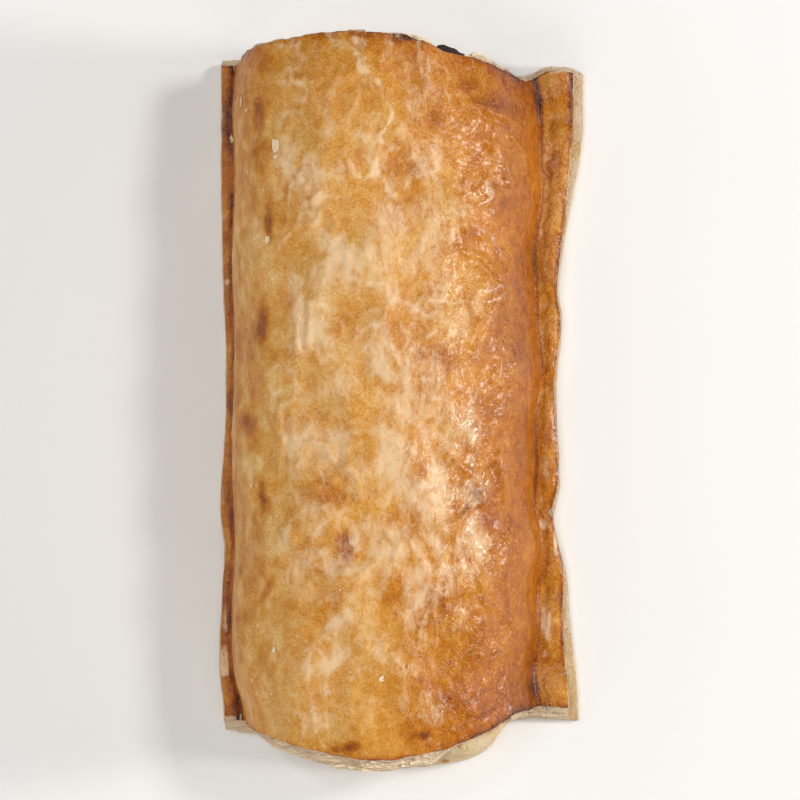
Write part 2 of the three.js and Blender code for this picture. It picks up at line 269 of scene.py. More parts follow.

# %% Paler, drier places of the crust, and glints painted as pale places
PALE_MARKS = (
    # The mark at (-18, 63) is a streak of glints painted pale: a painted highlight. The marks from x 13 to
    # 21, on the sloping side, are partly dry bloom and partly painted highlight of glinting patches.
    (-25, 64, 2.8, 2.4, 10, 0.6), (-18.4, 59.6, 3.2, 1.0, -6, 0.55), (-18, 63, 4.0, 0.7, 0, 0.35),
    (-14.4, 53.4, 2.6, 0.9, 8, 0.6), (-18, 44, 5.4, 4.2, 30, 0.55), (-23.6, 49, 2.2, 4.4, 25, 0.5),
    (-12.4, 28, 6.0, 6.6, 10, 0.6), (-20, 20, 1.5, 5.0, 0, 0.4), (-19.6, 14, 1.2, 5.0, 0, 0.75),
    (-15.6, 14.2, 2.0, 3.8, 0, 0.6), (-4.4, 9, 3.8, 5.6, 0, 0.6), (-14, 3, 5.0, 3.0, 0, 0.4),
    (-3, 32, 3.0, 7.0, -12, 0.5), (-6.7, 65.5, 1.4, 1.2, 0, 0.45), (-4.4, 47, 2.2, 2.6, 0, 0.5),
    (6, 61, 4.2, 2.6, 0, 0.3), (-22, -5, 3.0, 8.0, 0, 0.35), (-15, -8.5, 4.6, 3.2, -20, 0.55),
    (-9.4, -16, 1.3, 3.0, 20, 0.6), (-2.6, -14, 3.6, 9.0, 0, 0.55), (-3, -28, 3.4, 5.4, 0, 0.5),
    (-17, -24, 4.0, 4.0, 0, 0.45), (-14, -32.6, 5.4, 2.2, -14, 0.62), (-23.5, -26, 1.4, 4.4, 4, 0.4),
    (-20, -36, 3.0, 3.4, 35, 0.5), (-15, -51.4, 4.4, 3.0, 12, 1.0), (-10.6, -43, 2.2, 3.4, 0, 0.3),
    (-3.8, -48.6, 0.8, 3.4, -14, 0.55), (-14.5, -58, 4.0, 1.0, -6, 0.5), (5, -62, 5.4, 2.8, 4, 0.62),
    (-17, -64, 5.0, 2.6, 10, 0.35), (11, 36.5, 3.0, 4.0, 0, 0.22), (13, -3.5, 2.8, 4.6, 0, 0.32),
    (14, -19, 4.6, 4.8, 0, 0.42), (15.5, -30.5, 3.8, 6.6, 0, 0.42), (21, -16, 1.1, 5.4, 6, 0.4),
    (14.5, 16.5, 2.4, 3.4, 0, 0.36), (4.5, 32, 1.8, 5.0, 0, 0.3), (2, -2, 3.0, 6.0, 0, 0.3),
)

# %% Unglazed, flaky places of the pressed rims, and one painted glint
RIM_PALE_MARKS = (
    (-36.6, -55.2, 1.6, 3.4, 0, 0.8), (-36.0, 24.6, 0.8, 0.6, 0, 0.7), (-37.2, 22, 0.7, 2.8, 0, 0.6),
    (-36.8, 40, 0.6, 3.0, 0, 0.3), (-36.4, -46.6, 0.8, 3.4, 0, 0.5), (-34.6, 24, 0.5, 0.9, 0, 0.7),
    # The mark at (30.4, -15) whitens a glint on the right rim: a painted highlight.
    (29.6, -26, 1.5, 1.4, 0, 0.8), (32.4, -29.4, 0.6, 3.2, 0, 0.7), (30.4, -15, 0.9, 2.6, 0, 0.5),
    (29.0, 14.6, 0.6, 2.4, 0, 0.6), (30.4, -47, 1.4, 4.2, 8, 0.8), (30.0, -53, 0.7, 1.2, 0, 0.5),
    (29.2, 34, 0.4, 1.8, 0, 0.5), (29.4, 7, 0.4, 2.4, 0, 0.5), (29.2, -4.6, 0.4, 1.6, 0, 0.5),
    (29.4, -20.4, 0.4, 2.0, 0, 0.5), (28.8, -37, 0.4, 1.6, 0, 0.5), (-37, -20, 0.5, 5.0, 0, 0.4),
    (-37.2, 57, 0.5, 4.0, 0, 0.4), (33.6, 68.6, 4.0, 0.7, 0, 0.9), (34, -65.6, 5.0, 0.5, 0, 0.8),
    (-35.4, -66.6, 2.0, 0.8, 0, 0.8),
)

# %% Glossy, crinkled places that catch the light
GLARE_MARKS = (
    (22, 55, 2.6, 1.4, 10, 0.8), (17, 42.5, 2.2, 3.0, -15, 0.9), (12.4, 43, 1.6, 1.6, 0, 0.6),
    (16.5, 19.5, 2.4, 2.8, 10, 1.0), (11.4, -5.6, 2.6, 4.6, 15, 1.0), (15, -18.4, 5.0, 4.6, 25, 1.0),
    (21, -14.6, 1.6, 2.2, 0, 0.8), (21.6, -20.6, 0.9, 1.8, 0, 0.7), (15.4, -29.4, 4.0, 2.4, -20, 0.9),
    (21.6, -34.6, 0.9, 2.0, 0, 0.6), (20, -49.4, 3.8, 5.0, -25, 0.8), (21, -60, 2.8, 2.2, 0, 0.6),
    (8, 4, 1.8, 3.4, 0, 0.5), (26.6, 53.6, 1.0, 3.6, 0, 0.8), (13.4, 30.6, 2.2, 2.0, 30, 0.5),
    (30.6, 51, 1.3, 7.0, 0, 0.8), (29.8, 4, 0.8, 3.0, 0, 0.5), (29.4, -30, 0.8, 3.0, 0, 0.5),
    (3.4, -14, 2.4, 5.0, 0, 0.5), (24, 8, 1.0, 5.0, 0, 0.4), (9, -35, 2.0, 2.0, 0, 0.4),
)

# %% Pale cracks, raised folds and sunken lines of the crust
CRACKS = (
    (0.45, ((-8.7, 72.5), (-9.2, 69), (-8.2, 66.6), (-6.4, 65))),
    (0.45, ((-4, 63.4), (-3.4, 60), (-2, 57.6), (-1.6, 55), (-3.6, 52.4), (-4.6, 46))),
    (0.35, ((-4.6, 46), (-7, 43.5), (-9, 45), (-12, 50))),
    (0.3, ((-4.6, 46), (-1.5, 41), (-0.5, 37), (1.2, 34))),
    (0.3, ((9, 30), (12, 34.5), (15.5, 35.4), (19, 33))),
    (0.3, ((2, 17), (4.5, 21), (8, 19.5), (12.5, 19.8))),
    (0.3, ((1.5, 1), (0.8, 6), (2.5, 11), (7, 14))),
    (0.3, ((2.5, -8), (1, -14), (-1, -19))),
    (0.35, ((6.2, -18.5), (7, -21), (6.2, -24))),
    (0.3, ((-2, -50), (1, -54), (0, -60), (4, -66))),
)
FOLDS = (
    (0.7, ((-21, 50.6), (-20.6, 45.6), (-18.4, 40.4))),
    (0.6, ((-16, 40), (-18.2, 38.6), (-18.4, 40.4))),
    (0.7, ((-20.8, 24), (-20.4, 17), (-20, 9.6))),
    (0.6, ((-17.8, 19), (-17.6, 15.6), (-18.2, 9.6))),
    (0.8, ((-18, 33.8), (-14.6, 37), (-12.8, 34))),
    (0.7, ((-23.8, -2), (-23.4, -9), (-23.8, -15.5))),
    (0.7, ((-17, -9), (-14.8, -9.6), (-13.2, -11.6))),
    (0.8, ((-10.4, -13.4), (-8.8, -16), (-8.2, -19.4))),
    (0.9, ((-22.6, -26.6), (-20.4, -30), (-17.6, -33.2), (-13.4, -34.8), (-8.2, -34), (-5.6, -31.6))),
    (0.5, ((-18, -29.4), (-16, -30.8), (-14, -30.2))),
    (0.6, ((-2.6, -26), (-0.4, -27.8), (-1.8, -30.2))),
    (0.9, ((9, -9), (12.4, -12.4), (15.6, -15.6), (16.4, -20.4))),
    (0.9, ((19.6, -12), (21, -16.5), (22, -21.5))),
    (0.8, ((15, -21), (12.6, -23.6), (9, -24.4))),
    (0.8, ((7.6, -25), (12, -27.4), (15, -33), (16, -39))),
    (0.9, ((14.4, 20.6), (15.6, 17), (15, 12))),
    (0.8, ((13.2, 30.6), (17, 29.8), (19.4, 27), (20.6, 22))),
    (0.9, ((16, 62.2), (20, 61.4), (24.6, 60.8))),
    (0.8, ((22, 57.4), (25, 55.4), (25.6, 51))),
    (1.0, ((18, 54.4), (21, 52), (22, 47.6))),
    (0.8, ((9, 44), (12, 40), (13, 34))),
    (0.8, ((5, -36), (9, -38.6), (13.6, -39))),
    (0.8, ((16, -42), (20, -45), (22.4, -49))),
    (0.8, ((14, -52), (18, -54.6), (22.6, -55.2))),
)
FURROWS = (
    (0.5, ((16.6, 60), (20.6, 59.4), (25, 58))),
    (0.4, ((13.4, 18.4), (15, 16.2))),
    (0.4, ((15.5, 13.8), (15.6, 10.4))),
    (0.6, ((17.4, -12), (19, -15.8), (19.4, -21))),
    (0.6, ((15.8, -17.8), (14.6, -20.4), (11.4, -22.6))),
    (0.5, ((19, 33), (20.6, 29), (21.4, 26))),
    (0.45, ((-22.9, -2), (-22.5, -9), (-22.9, -15.5))),
    (0.4, ((-24.2, -27), (-21.8, -31), (-18.6, -35.4))),
    (0.45, ((-19, 24), (-18.8, 17), (-18.9, 10))),
    (0.45, ((-19.4, 47), (-18.9, 44), (-17.2, 41.8))),
)
print(len(BROWN_MARKS), "brown and", len(PALE_MARKS), "pale marks,", len(CRACKS), "cracks,",
      len(FOLDS), "folds and", len(FURROWS), "furrows")

# %% [markdown]
# ## A shell of cells
# A sheet of pastry is a block whose cells are bent into place: `across` cells by
# `along` cells, and `up` cells through its thickness, so that its cut edges have
# leaves. Only its outside is made. The face that lies against another piece is hidden,
# so there the cells are `step` times larger.

# %% Build a shell
def shell(name, cells, place, step):
    """A closed mesh over a bent block; place(i, j, k) gives the points in millimetres."""
    across, along, up = cells
    i, j, k = np.indices((across + 1, along + 1, up + 1))
    side = (i == 0) | (i == across) | (j == 0) | (j == along)
    used = side | (k == up) | ((k == 0) & (i % step == 0) & (j % step == 0))
    ids = np.full(used.shape, -1)
    ids[used] = np.arange(used.sum())
    points = place(i[used], j[used], k[used])
    quads = [quad(ids[:, :, up]), quad(ids[:, 0, :]), quad(ids[:, -1, ::-1]),
             quad(ids[0, :, ::-1]), quad(ids[-1, :, :])]
    under = [coarse_face(ids[:, :, 0], a, b, step)
             for a in range(0, across, step) for b in range(0, along, step)]
    faces = np.concatenate(quads).tolist() + under
    mesh = bpy.data.meshes.new(name)
    mesh.from_pydata((points * MM).tolist(), [], faces)
    count = [len(q) for q in quads]
    region = np.repeat([0, 1, 2, 3, 4, 5], count + [len(under)])
    print(name, "has", len(points), "points and", len(faces), "faces")
    return mesh, (i[used], j[used], k[used]), region


def quad(ids):
    """Quads over a lattice whose first two directions turn anticlockwise, seen from outside."""
    corners = (ids[:-1, :-1], ids[1:, :-1], ids[1:, 1:], ids[:-1, 1:])
    return np.stack([c.ravel() for c in corners], axis=1)


def coarse_face(ids, a, b, step):
    """One large cell of the underside, with the fine points of the block's border in it."""
    low = [(a, b + n) for n in range(step)]
    far = [(a + n, b + step) for n in range(step)]
    high = [(a + step, b + step - n) for n in range(step)]
    near = [(a + step - n, b) for n in range(step)]
    return [int(ids[p]) for p in low + far + high + near if ids[p] >= 0]

# %% [markdown]
# ## The arch
# The crust's cross-section is two quarter superellipses, a boxy one on the left and a
# sloping one on the right, that meet at the crest.

# %% Points round the arch
def arch(angle, y, depth, foot):
    """The point at an angle from the left crease (0) to the right one (pi), and its normal."""
    on_left = np.cos(angle) > 0
    power = np.where(on_left, STEEP_SIDE, SLOPING_SIDE)
    half = np.where(on_left, CREST_X - seam_left(y), seam_right(y) - CREST_X) - depth
    rise = crest(y) - depth - foot
    across = np.abs(np.cos(angle)) ** (2 / power)
    up = np.maximum(np.sin(angle), 0) ** (2 / power)
    out_x = -np.sign(np.cos(angle)) * across ** (power - 1) / half
    out_z = up ** (power - 1) / rise
    length = np.hypot(out_x, out_z)
    x = CREST_X - np.sign(np.cos(angle)) * half * across
    return x, foot + rise * up, out_x / length, out_z / length


def even_angles(cells):
    """Angles that put the arch's points an even distance apart, and that distance."""
    fine = np.linspace(0, math.pi, 2001)
    x, z, _, _ = arch(fine, 0.0, 0.0, SEAM_HEIGHT)
    walked = np.concatenate([[0], np.cumsum(np.hypot(np.diff(x), np.diff(z)))])
    return np.interp(np.linspace(0, walked[-1], cells + 1), walked, fine), walked[-1] / cells


CELLS_LEFT, CELLS_ARCH, CELLS_RIGHT = 8, 204, 20
CRUST_CELLS = (CELLS_LEFT + CELLS_ARCH + CELLS_RIGHT, 312, 18)
ANGLES, CELL = even_angles(CELLS_ARCH)
print("cells of the crust are", round(CELL, 2), "mm wide")

# %% [markdown]
# ## Relief of the glazed crust
# Broad blisters come first, in step with the frame's solid. Then come pillows some
# millimetres wide, the listed folds, furrows and cracks, and on the sloping
# side the fine crinkles that catch the light. `s` is the distance walked round the
# arch, so that the steep side gets patterns of the same size as the top.

# %% Heights of the relief in millimetres
PILLOWS = ((0.42, 1, 0.8, 9.0, 11, 4), (0.32, 1, 1, 3.6, 12, 3), (0.19, 1, 0.6, 1.6, 13, 2))
STEEP_SIDE_PILLOWS = ((0.18, 1.1, 0.7, 3.2, 14, 3),)
FOLD_HEIGHT, FURROW_DEPTH, CRACK_HEIGHT, CRACKLE_HEIGHT, PATCH_HEIGHT = 0.60, 0.34, 0.16, 0.20, 0.16
print("the broadest pillows are", PILLOWS[0][3], "mm wide")


# %% The relief, one kind at a time
def broad_blisters(x, y):
    pillow = np.sin(x * 0.23 + 1.3 * np.sin(y * 0.11)) * np.sin(y * 0.19 + 1.1 * np.sin(x * 0.15))
    fold = np.sin(x * 0.52 + y * 0.09 + 2 * np.sin(y * 0.06 + 1))
    return BLISTER * (pillow + 0.35 * fold)


def glare(x, y):
    """The glossy, crinkled places, with ragged borders."""
    return patches(GLARE_MARKS, x, y, 0.8)


def crinkled(x, y):
    """Where the skin is crinkled: the sloping side, more so in its middle."""
    side = smooth(x, -2, 10) * (0.5 + 0.5 * smooth(x, 26, 18))
    comes_and_goes = 0.35 + 0.25 * smooth(fractal(x, y, 16, 31), -0.35, 0.25)
    return side * comes_and_goes + 0.6 * glare(x, y)


def crackle(s, x, y):
    """A web of thin dry ridges over the crown, which come and go."""
    gate = smooth(fractal(s, y, 9, 35), -0.25, 0.3) * smooth(x, -31, -24) * smooth(x, 16, 4)
    return gate * ridged(s, y * 0.62, 3.4, 36) ** 2


def crust_relief(s, x, y):
    pillows = layers(PILLOWS, s, y) + layers(STEEP_SIDE_PILLOWS, s, y) * smooth(x, -20, -27)
    folds = FOLD_HEIGHT * strokes(FOLDS, x, y) - FURROW_DEPTH * strokes(FURROWS, x, y, 0.3)
    cracks = CRACK_HEIGHT * strokes(CRACKS, x, y) + CRACKLE_HEIGHT * crackle(s, x, y)
    crinkles = 0.15 * ridged(s, y, 2.6, 41) + 0.09 * ridged(s, y, 1.3, 43)
    crinkles = crinkled(x, y) * (crinkles + 0.17 * fractal(s, y, 1.5, 42, 2))
    patch_edges = PATCH_HEIGHT * np.clip(patches(PALE_MARKS, x, y, 0.5), 0, 1)
    return pillows + folds + cracks + crinkles + patch_edges

# %% [markdown]
# ## The top sheet
# Its outer face runs over the left rim, the arch and the right rim. Its inner face is
# the arch over the meat, and the flat underside of both rims. Between the two, each
# third level is drawn back, so that a cut edge shows a stack of thin leaves.

# %% The rims, the leaves of a cut edge and the fine lines of the creases
RIM_BUMPS = ((0.24, 1.3, 1, 5.0, 21, 4), (0.12, 1, 1, 1.8, 22, 4))
RIM_CRINKLE, RIM_GLARE_BUMPS = 0.10, 0.45
LEAF_LEVELS = 3


def rim(share, y, on_left):
    """The pressed rim from its crease (share 0) to its cut edge (share 1)."""
    left_edge = through(LEFT_RIM, y) + PALE_BAND_LEFT
    right_edge = through(RIGHT_RIM, y) - pale_band(y)
    edge = np.where(on_left, left_edge, right_edge)
    crease = np.where(on_left, seam_left(y), seam_right(y))
    puff = np.where(on_left, RIM_PUFF_LEFT, RIM_PUFF_RIGHT) * np.sin(np.minimum(0.8 * share, 0.5) * np.pi)
    nip = np.where(on_left, 0, PINCH_DEPTH * np.minimum(pinch(y), 1) * np.sin(np.pi * share) ** 0.5)
    return mix(crease, edge, share), SEAM_HEIGHT + puff - RIM_EDGE_DROP * share ** 3 - nip


def rim_bumps(s, x, y):
    bumps = layers(RIM_BUMPS, s, y) + RIM_CRINKLE * ridged(s, y, 1.8, 23)
    return bumps + RIM_GLARE_BUMPS * glare(x, y) * fractal(s, y, 1.7, 24, 2)


def leaf_edge(along_edge, k, up, seed):
    """How far the leaf of level k stands out at a place along a cut edge."""
    leaf = k // LEAF_LEVELS
    parted = smooth(fractal(along_edge, leaf * 13.0, 3.6, seed + 9, 3), -0.35, 0.25)
    drawn_back = np.where(k % LEAF_LEVELS == 0, -0.6, 0.15) * parted
    uneven = 0.6 * fractal(along_edge, leaf * 31.0, 5.0, seed, 5)
    torn = -1.3 * smooth(fractal(along_edge, leaf * 57.0, 3.0, seed + 3, 3), 0.12, 0.45)
    return np.where((k == 0) | (k == up), 0, drawn_back + uneven + torn)


def crease_depth(y):
    """How deep the fine line of each crease is pressed, at places along the roll."""
    left = 0.6 + 0.35 * noise(y, y * 0, 8, 123) + 0.2 * bell(y + 62, 6) + 0.3 * bell(y - 60, 8)
    right = 0.30 + 0.35 * noise(y, y * 0, 7, 121) + 0.2 * bell(y - 61, 3) - 0.3 * bell(y + 58, 7)
    return np.clip(left, 0.1, 1.2), np.clip(right, 0.0, 1.2)


# %% The outer face
RIGHT_CREASE = CELLS_LEFT + CELLS_ARCH
SOFTENING_PASSES = 90


def along_the_section(i):
    """Is column i on the left rim or in the arch, its share of a rim, and its angle."""
    on_left = i <= CELLS_LEFT
    in_arch = (i > CELLS_LEFT) & (i < RIGHT_CREASE)
    share = np.where(on_left, 1 - i / CELLS_LEFT, (i - RIGHT_CREASE) / CELLS_RIGHT)
    return on_left, in_arch, share, ANGLES[np.clip(i - CELLS_LEFT, 0, CELLS_ARCH)]


def softened(i, x, z):
    """Rounds the creases: each point near one moves towards the middle of its neighbours."""
    soften = 0.5 * bell(i - CELLS_LEFT, 6.0) + 0.5 * bell(i - RIGHT_CREASE + 4, 16.0)
    for _ in range(SOFTENING_PASSES):
        for values in (x, z):
            between = 0.5 * (values[:-2] + values[2:])
            values[1:-1] += soften[1:-1] * (between - values[1:-1])
    return x, z


def outer_face():
    """The glazed face: its points (x, y, z) and the distance walked round the arch."""
    across, along, _ = CRUST_CELLS
    i, j = np.indices((across + 1, along + 1))
    y = mix(CREST_NEAR, CREST_FAR, j / along)
    on_left, in_arch, share, angle = along_the_section(i)
    x_arch, z_arch, _, _ = arch(angle, y, 0.0, SEAM_HEIGHT)
    x_rim, z_rim = rim(np.clip(share, 0, 1), y, on_left)
    x, z = softened(i, np.where(in_arch, x_arch, x_rim), np.where(in_arch, z_arch, z_rim))
    dx, dz = np.gradient(x, axis=0), np.gradient(z, axis=0)
    length = np.hypot(dx, dz)
    s = (i - CELLS_LEFT) * CELL
    lift = broad_blisters(x, y) * smooth(np.sin(angle), 0.1, 0.6) * in_arch
    lift = lift + crust_relief(s, x, y) * smooth(np.sin(angle), 0.0, 0.3) * in_arch
    left, right = crease_depth(y)
    lift = lift - left * bell(i - CELLS_LEFT - 0.5, 1.5) - right * bell(i - RIGHT_CREASE, 1.8)
    lift = lift + np.where(in_arch, 0, rim_bumps(s, x, y) * smooth(share, 0.1, 0.4))
    return x - dz / length * lift, y, z + dx / length * lift, s


OUTER_X, OUTER_Y, OUTER_Z, OUTER_S = outer_face()
print("the glazed face reaches", OUTER_Z.max().round(1), "mm up")


# %% Place the cells of the top sheet
NIBBLES = ((0.3, 1, 0, 5.0, 55, 4), (0.2, 1, 0, 1.4, 57, 4))


def crust_place(i, j, k):
    across, along, up = CRUST_CELLS
    y = OUTER_Y[i, j]
    on_left, in_arch, share, angle = along_the_section(i)
    x_in, z_in, _, _ = arch(angle, np.clip(y, MEAT_NEAR, MEAT_FAR), CRUST, RIM_UNDER)
    foot = np.where(on_left, seam_left(y) + CRUST, seam_right(y) - CRUST)
    x_in = np.where(in_arch, x_in, mix(foot, OUTER_X[i, j], np.clip(share, 0, 1)))
    z_in = np.where(in_arch, z_in, RIM_UNDER)
    t = k / up
    x, z = mix(x_in, OUTER_X[i, j], t), mix(z_in, OUTER_Z[i, j], t)
    end = (j == 0) | (j == along)
    s = OUTER_S[i, j]
    ragged = np.where(end, leaf_edge(s, k, up, 51), 0)
    nibbled = layers(NIBBLES, s, s)
    by_tongue = smooth(x, 6, 12) * smooth(x, 24, 21)
    near = through(NEAR_CUT, x) - FLARE_NEAR * (1 - t) * (1 - 0.8 * by_tongue) - ragged + nibbled
    bite = CHAR_BITE * bell(x - CHAR_X, 4.5) * smooth(z, 14, 20)
    glazed_out = smooth(x, 4, 0) * smooth(z, 14, 22)
    flare = FLARE_FAR * mix(1 - t, 0.9, glazed_out)
    far = through(FAR_CUT, x) + (flare + ragged) * smooth(bite, 1.2, 0.2) - bite + nibbled
    side = (i == 0) | (i == across)
    x = x + np.where(side & ~end, np.sign(x) * 0.6 * leaf_edge(y, k, up, 61), 0)
    return np.stack([x, mix(near, far, j / along), z], axis=1)


crust_mesh, crust_ijk, crust_region = shell("glazed crust", CRUST_CELLS, crust_place, 4)

# %% [markdown]
# ## The bottom sheet
# It lies flat under everything. Past the cuts it has puffed up into lips: a low one at
# the far end, and at the near end a tongue that swells towards its right.

# %% Shape of the lips
ROWS_NEAR, ROWS_FAR = 60, 26
LEAF_PITCH = 1.1
TORN_DOUGH = ((0.9, 1, 1, 4.0, 98, 4), (0.3, 1, 1, 1.2, 97, 4))
PUFFED_DOUGH = ((0.3, 1, 1, 4.0, 99, 4),)


def lip_top(out, reach, height):
    free = smooth(reach, 0.8, 3.5)
    base = mix(SHEET, LIP_EDGE, smooth(out, 0.5, 1))
    return base + (height - SHEET) * free * np.sin(np.pi * np.clip(out, 0, 1) ** 0.8) ** 0.7


def leaf_wave(x, z):
    """A wave up through the dough, one length for each leaf, that wanders along X."""
    wander = z + 0.5 * fractal(x, z * 3, 5.0, 94)
    return np.sin(2 * np.pi * wander / LEAF_PITCH)


def terraces(z, x, strength):
    """Steps in a slope, the edges of torn leaves that lie on each other."""
    return z + strength * LEAF_PITCH / 7 * leaf_wave(x, z)


def tongue_relief(x, y):
    """Smooth puffed dough on the right of the tongue, torn leaves on its left."""
    return smooth(x, 9, 2) * layers(TORN_DOUGH, x, y) + layers(PUFFED_DOUGH, x, y)


print("each leaf of the lips is", LEAF_PITCH, "mm thick")

# %% Place the cells of the bottom sheet
SHEET_CELLS = (168, 236, 8)


def sheet_place(i, j, k):
    across, along, up = SHEET_CELLS
    share = (j - ROWS_NEAR) / (along - ROWS_NEAR - ROWS_FAR)
    inside = np.clip(share, 0, 1)
    y_rough = mix(CREST_NEAR, CREST_FAR, inside)
    x = mix(through(LEFT_RIM, y_rough), through(RIGHT_RIM, y_rough), i / across)
    near_edge = through(TONGUE, x) + 0.3 * fractal(x, x * 0, 4.0, 91)
    far_edge = through(FAR_LIP, x) + 0.25 * fractal(x, x * 0, 4.0, 92)
    near_start = np.maximum(LIP_START_NEAR, near_edge + LEAST_LIP)
    far_start = np.minimum(LIP_START_FAR, far_edge - LEAST_LIP)
    y = mix(near_start, far_start, inside)
    z = np.full_like(y, SHEET)
    out = np.clip(1 - j / ROWS_NEAR, 0, 1)
    lip = lip_top(out, near_start - near_edge, through(TONGUE_HEIGHT, x))
    lip = lip + tongue_relief(x, mix(near_start, near_edge, out)) * smooth(out, 0.1, 0.5)
    z = np.where(share < 0, terraces(lip, x, smooth(x, 11, 5) * smooth(out, 0.1, 0.5)), z)
    y = np.where(share < 0, mix(near_start, near_edge, out), y)
    out = np.clip((j - along + ROWS_FAR) / ROWS_FAR, 0, 1)
    lip = lip_top(out, far_edge - far_start, through(FAR_LIP_HEIGHT, x))
    z = np.where(share > 1, terraces(lip, x, smooth(out, 0.1, 0.5)), z)
    y = np.where(share > 1, mix(far_start, far_edge, out), y)
    end = (j == 0) | (j == along)
    side = (i == 0) | (i == across)
    level = k / up
    ragged = 0.5 * leaf_edge(x, k, up, 95) * (1 - smooth(level, 0.6, 1))
    y = y + np.where(end & (k > 0), np.where(j == 0, -1, 1) * ragged, 0)
    x = x + np.where(side & ~end, np.sign(x) * 0.5 * leaf_edge(y, k, up, 96), 0)
    return np.stack([x, y, z * level], axis=1)


sheet_mesh, _, sheet_region = shell("puffed bottom sheet", SHEET_CELLS, sheet_place, 4)

# %% [markdown]
# ## The filling
# Only the ends of the meat can be seen, under the arch: coarse and craggy, and at the
# far end swollen and scorched.

# %% Place the cells of the filling
MEAT_CELLS = (112, 12, 52)
MEAT_ANGLES, _ = even_angles(MEAT_CELLS[0])


def meat_face(x, z, far):
    crag = 0.5 * fractal(x, z, 5.0, 101) + 0.35 * ridged(x, z, 3.0, 102)
    burnt = CHAR_REACH * bell(x - CHAR_X, 1.25 * CHAR_WIDTH) * bell(z - CHAR_HEIGHT, 1.3 * CHAR_TALL)
    blistered = 1.5 * burnt / CHAR_REACH * fractal(x, z, 2.6, 103)
    return np.where(far, crag + MEAT_BULGE * smooth(z, 10, 20) + burnt + blistered, -crag)


def meat_place(i, j, k):
    across, along, up = MEAT_CELLS
    y = mix(MEAT_NEAR, MEAT_FAR, j / along)
    x, roof, _, _ = arch(MEAT_ANGLES[i], y, CRUST + GAP, RIM_UNDER)
    z = mix(RIM_UNDER, np.maximum(roof, RIM_UNDER + GAP), k / up)
    end = (j == 0) | (j == along)
    swell = meat_face(x, z, j == along) * (1 - (k / up) ** 6)
    return np.stack([x, y + np.where(end, swell, 0), z], axis=1)


meat_mesh, _, meat_region = shell("baked meat", MEAT_CELLS, meat_place, 4)

# %% [markdown]
# ## Masks for the finishes
# A mask is a number from 0 to 1 at every point of a mesh, and the materials read it by
# name: `bake` says how brown, with painted shade in the creases and dents, `bloom` how
# pale and dry, with painted highlight on the sloping side, and `glaze` how glossy.

# %% Store a mask
def set_mask(mesh, name, values):
    attribute = mesh.attributes.new(name, "FLOAT", "POINT")
    attribute.data.foreach_set("value", np.clip(values, 0, 1).astype(np.float32))


def points_of(mesh):
    flat = np.empty(3 * len(mesh.vertices))
    mesh.vertices.foreach_get("co", flat)
    return flat.reshape(-1, 3) / MM


# %% Where each point of the crust lies
i, j, k = crust_ijk
x, y, z = points_of(crust_mesh).T
s = OUTER_S[i, j]
on_left_rim = smooth(i, CELLS_LEFT - 0.5, CELLS_LEFT - 3)
on_rim = np.maximum(on_left_rim, smooth(i, RIGHT_CREASE + 0.5, RIGHT_CREASE + 4))
on_glaze = k == CRUST_CELLS[2]
print(on_glaze.sum(), "of", len(k), "points are on the glazed face")

# %% How brown: the sides, the ends and the mottling of the arch
PALEST_BAKE = 0.33
# The sides of the arch are browner: partly the crust's own colour and partly painted shade of the slopes.
SIDE_BAKE_AND_SHADE = ((0.06, -24, -31), (0.12, -6, 6), (0.20, 8, 25))
MOTTLING = ((0.12, 1, 1, 14, 111, 4), (0.10, 1, 1, 5.0, 112, 4), (0.08, 1, 1, 1.7, 113, 3))
STEEP_SIDE_BLOTCHES = ((0.26, 1.1, 0.8, 3.4, 115, 5),)
by_end = 0.12 * smooth(y, 50, 70) + 0.13 * smooth(y, -35, -66) * smooth(x, -18, 6)
mottled = layers(MOTTLING, s, y) + layers(STEEP_SIDE_BLOTCHES, s, y) * smooth(x, -20, -27)
mottled = mottled * (1 - 0.35 * smooth(x, 19, 25)) * (1 - 0.3 * smooth(np.abs(y), 45, 60))
bake = PALEST_BAKE + steps(SIDE_BAKE_AND_SHADE, x) + by_end + mottled + patches(BROWN_MARKS, x, y, 0.9)
bake = bake + 0.06 * strokes(FURROWS, x, y, 0.3)

# %% How brown: the rims, and painted shade along the lines of the creases
RIM_BAKE = 0.52
RIM_MOTTLING = ((0.18, 1, 1, 6.0, 131, 4), (0.12, 1, 1, 1.6, 133, 4))
CREASE_DENTS = ((28.6, 61, 1.0, 2.6, 4, 0.6), (27.4, -60.4, 1.4, 2.4, -20, 0.6))
LEFT_SHADE_STRENGTH, RIGHT_SHADE_STRENGTH, DENT_SHADE_STRENGTH = 0.42, 0.28, 0.18
rim_tone = RIM_BAKE + 0.07 * on_left_rim + layers(RIM_MOTTLING, x, y)
cut_line = smooth(i, CRUST_CELLS[0] - 3.5, CRUST_CELLS[0] - 1)
rim_tone = rim_tone + 0.26 * cut_line * smooth(fractal(x, y, 9, 134), -0.5, 0.2)
left_line, right_line = crease_depth(y)
# The lines of both creases are darkened with painted shade, wider on the left and at its ends.
left_shade_width = 2.0 + 0.6 * noise(y, y * 0, 5, 125) + 1.2 * bell(y - 60, 9) + 1.5 * bell(y + 60, 7)
left_shade_width = np.where(i < CELLS_LEFT, 1.3 * left_shade_width, left_shade_width)
painted_left_shade = bell(i - CELLS_LEFT + 0.4, left_shade_width) * (0.6 + 0.4 * left_line)
painted_right_shade = bell(i - RIGHT_CREASE, 1.8) * np.clip(right_line, 0.15, 1)
# The two dents by the right crease are darkened with painted shade.
painted_dent_shade = patches(CREASE_DENTS, x, y, 0.3) * smooth(z, 12, 7)
bake = mix(bake, rim_tone, on_rim)
bake = bake + LEFT_SHADE_STRENGTH * painted_left_shade + RIGHT_SHADE_STRENGTH * painted_right_shade + DENT_SHADE_STRENGTH * painted_dent_shade
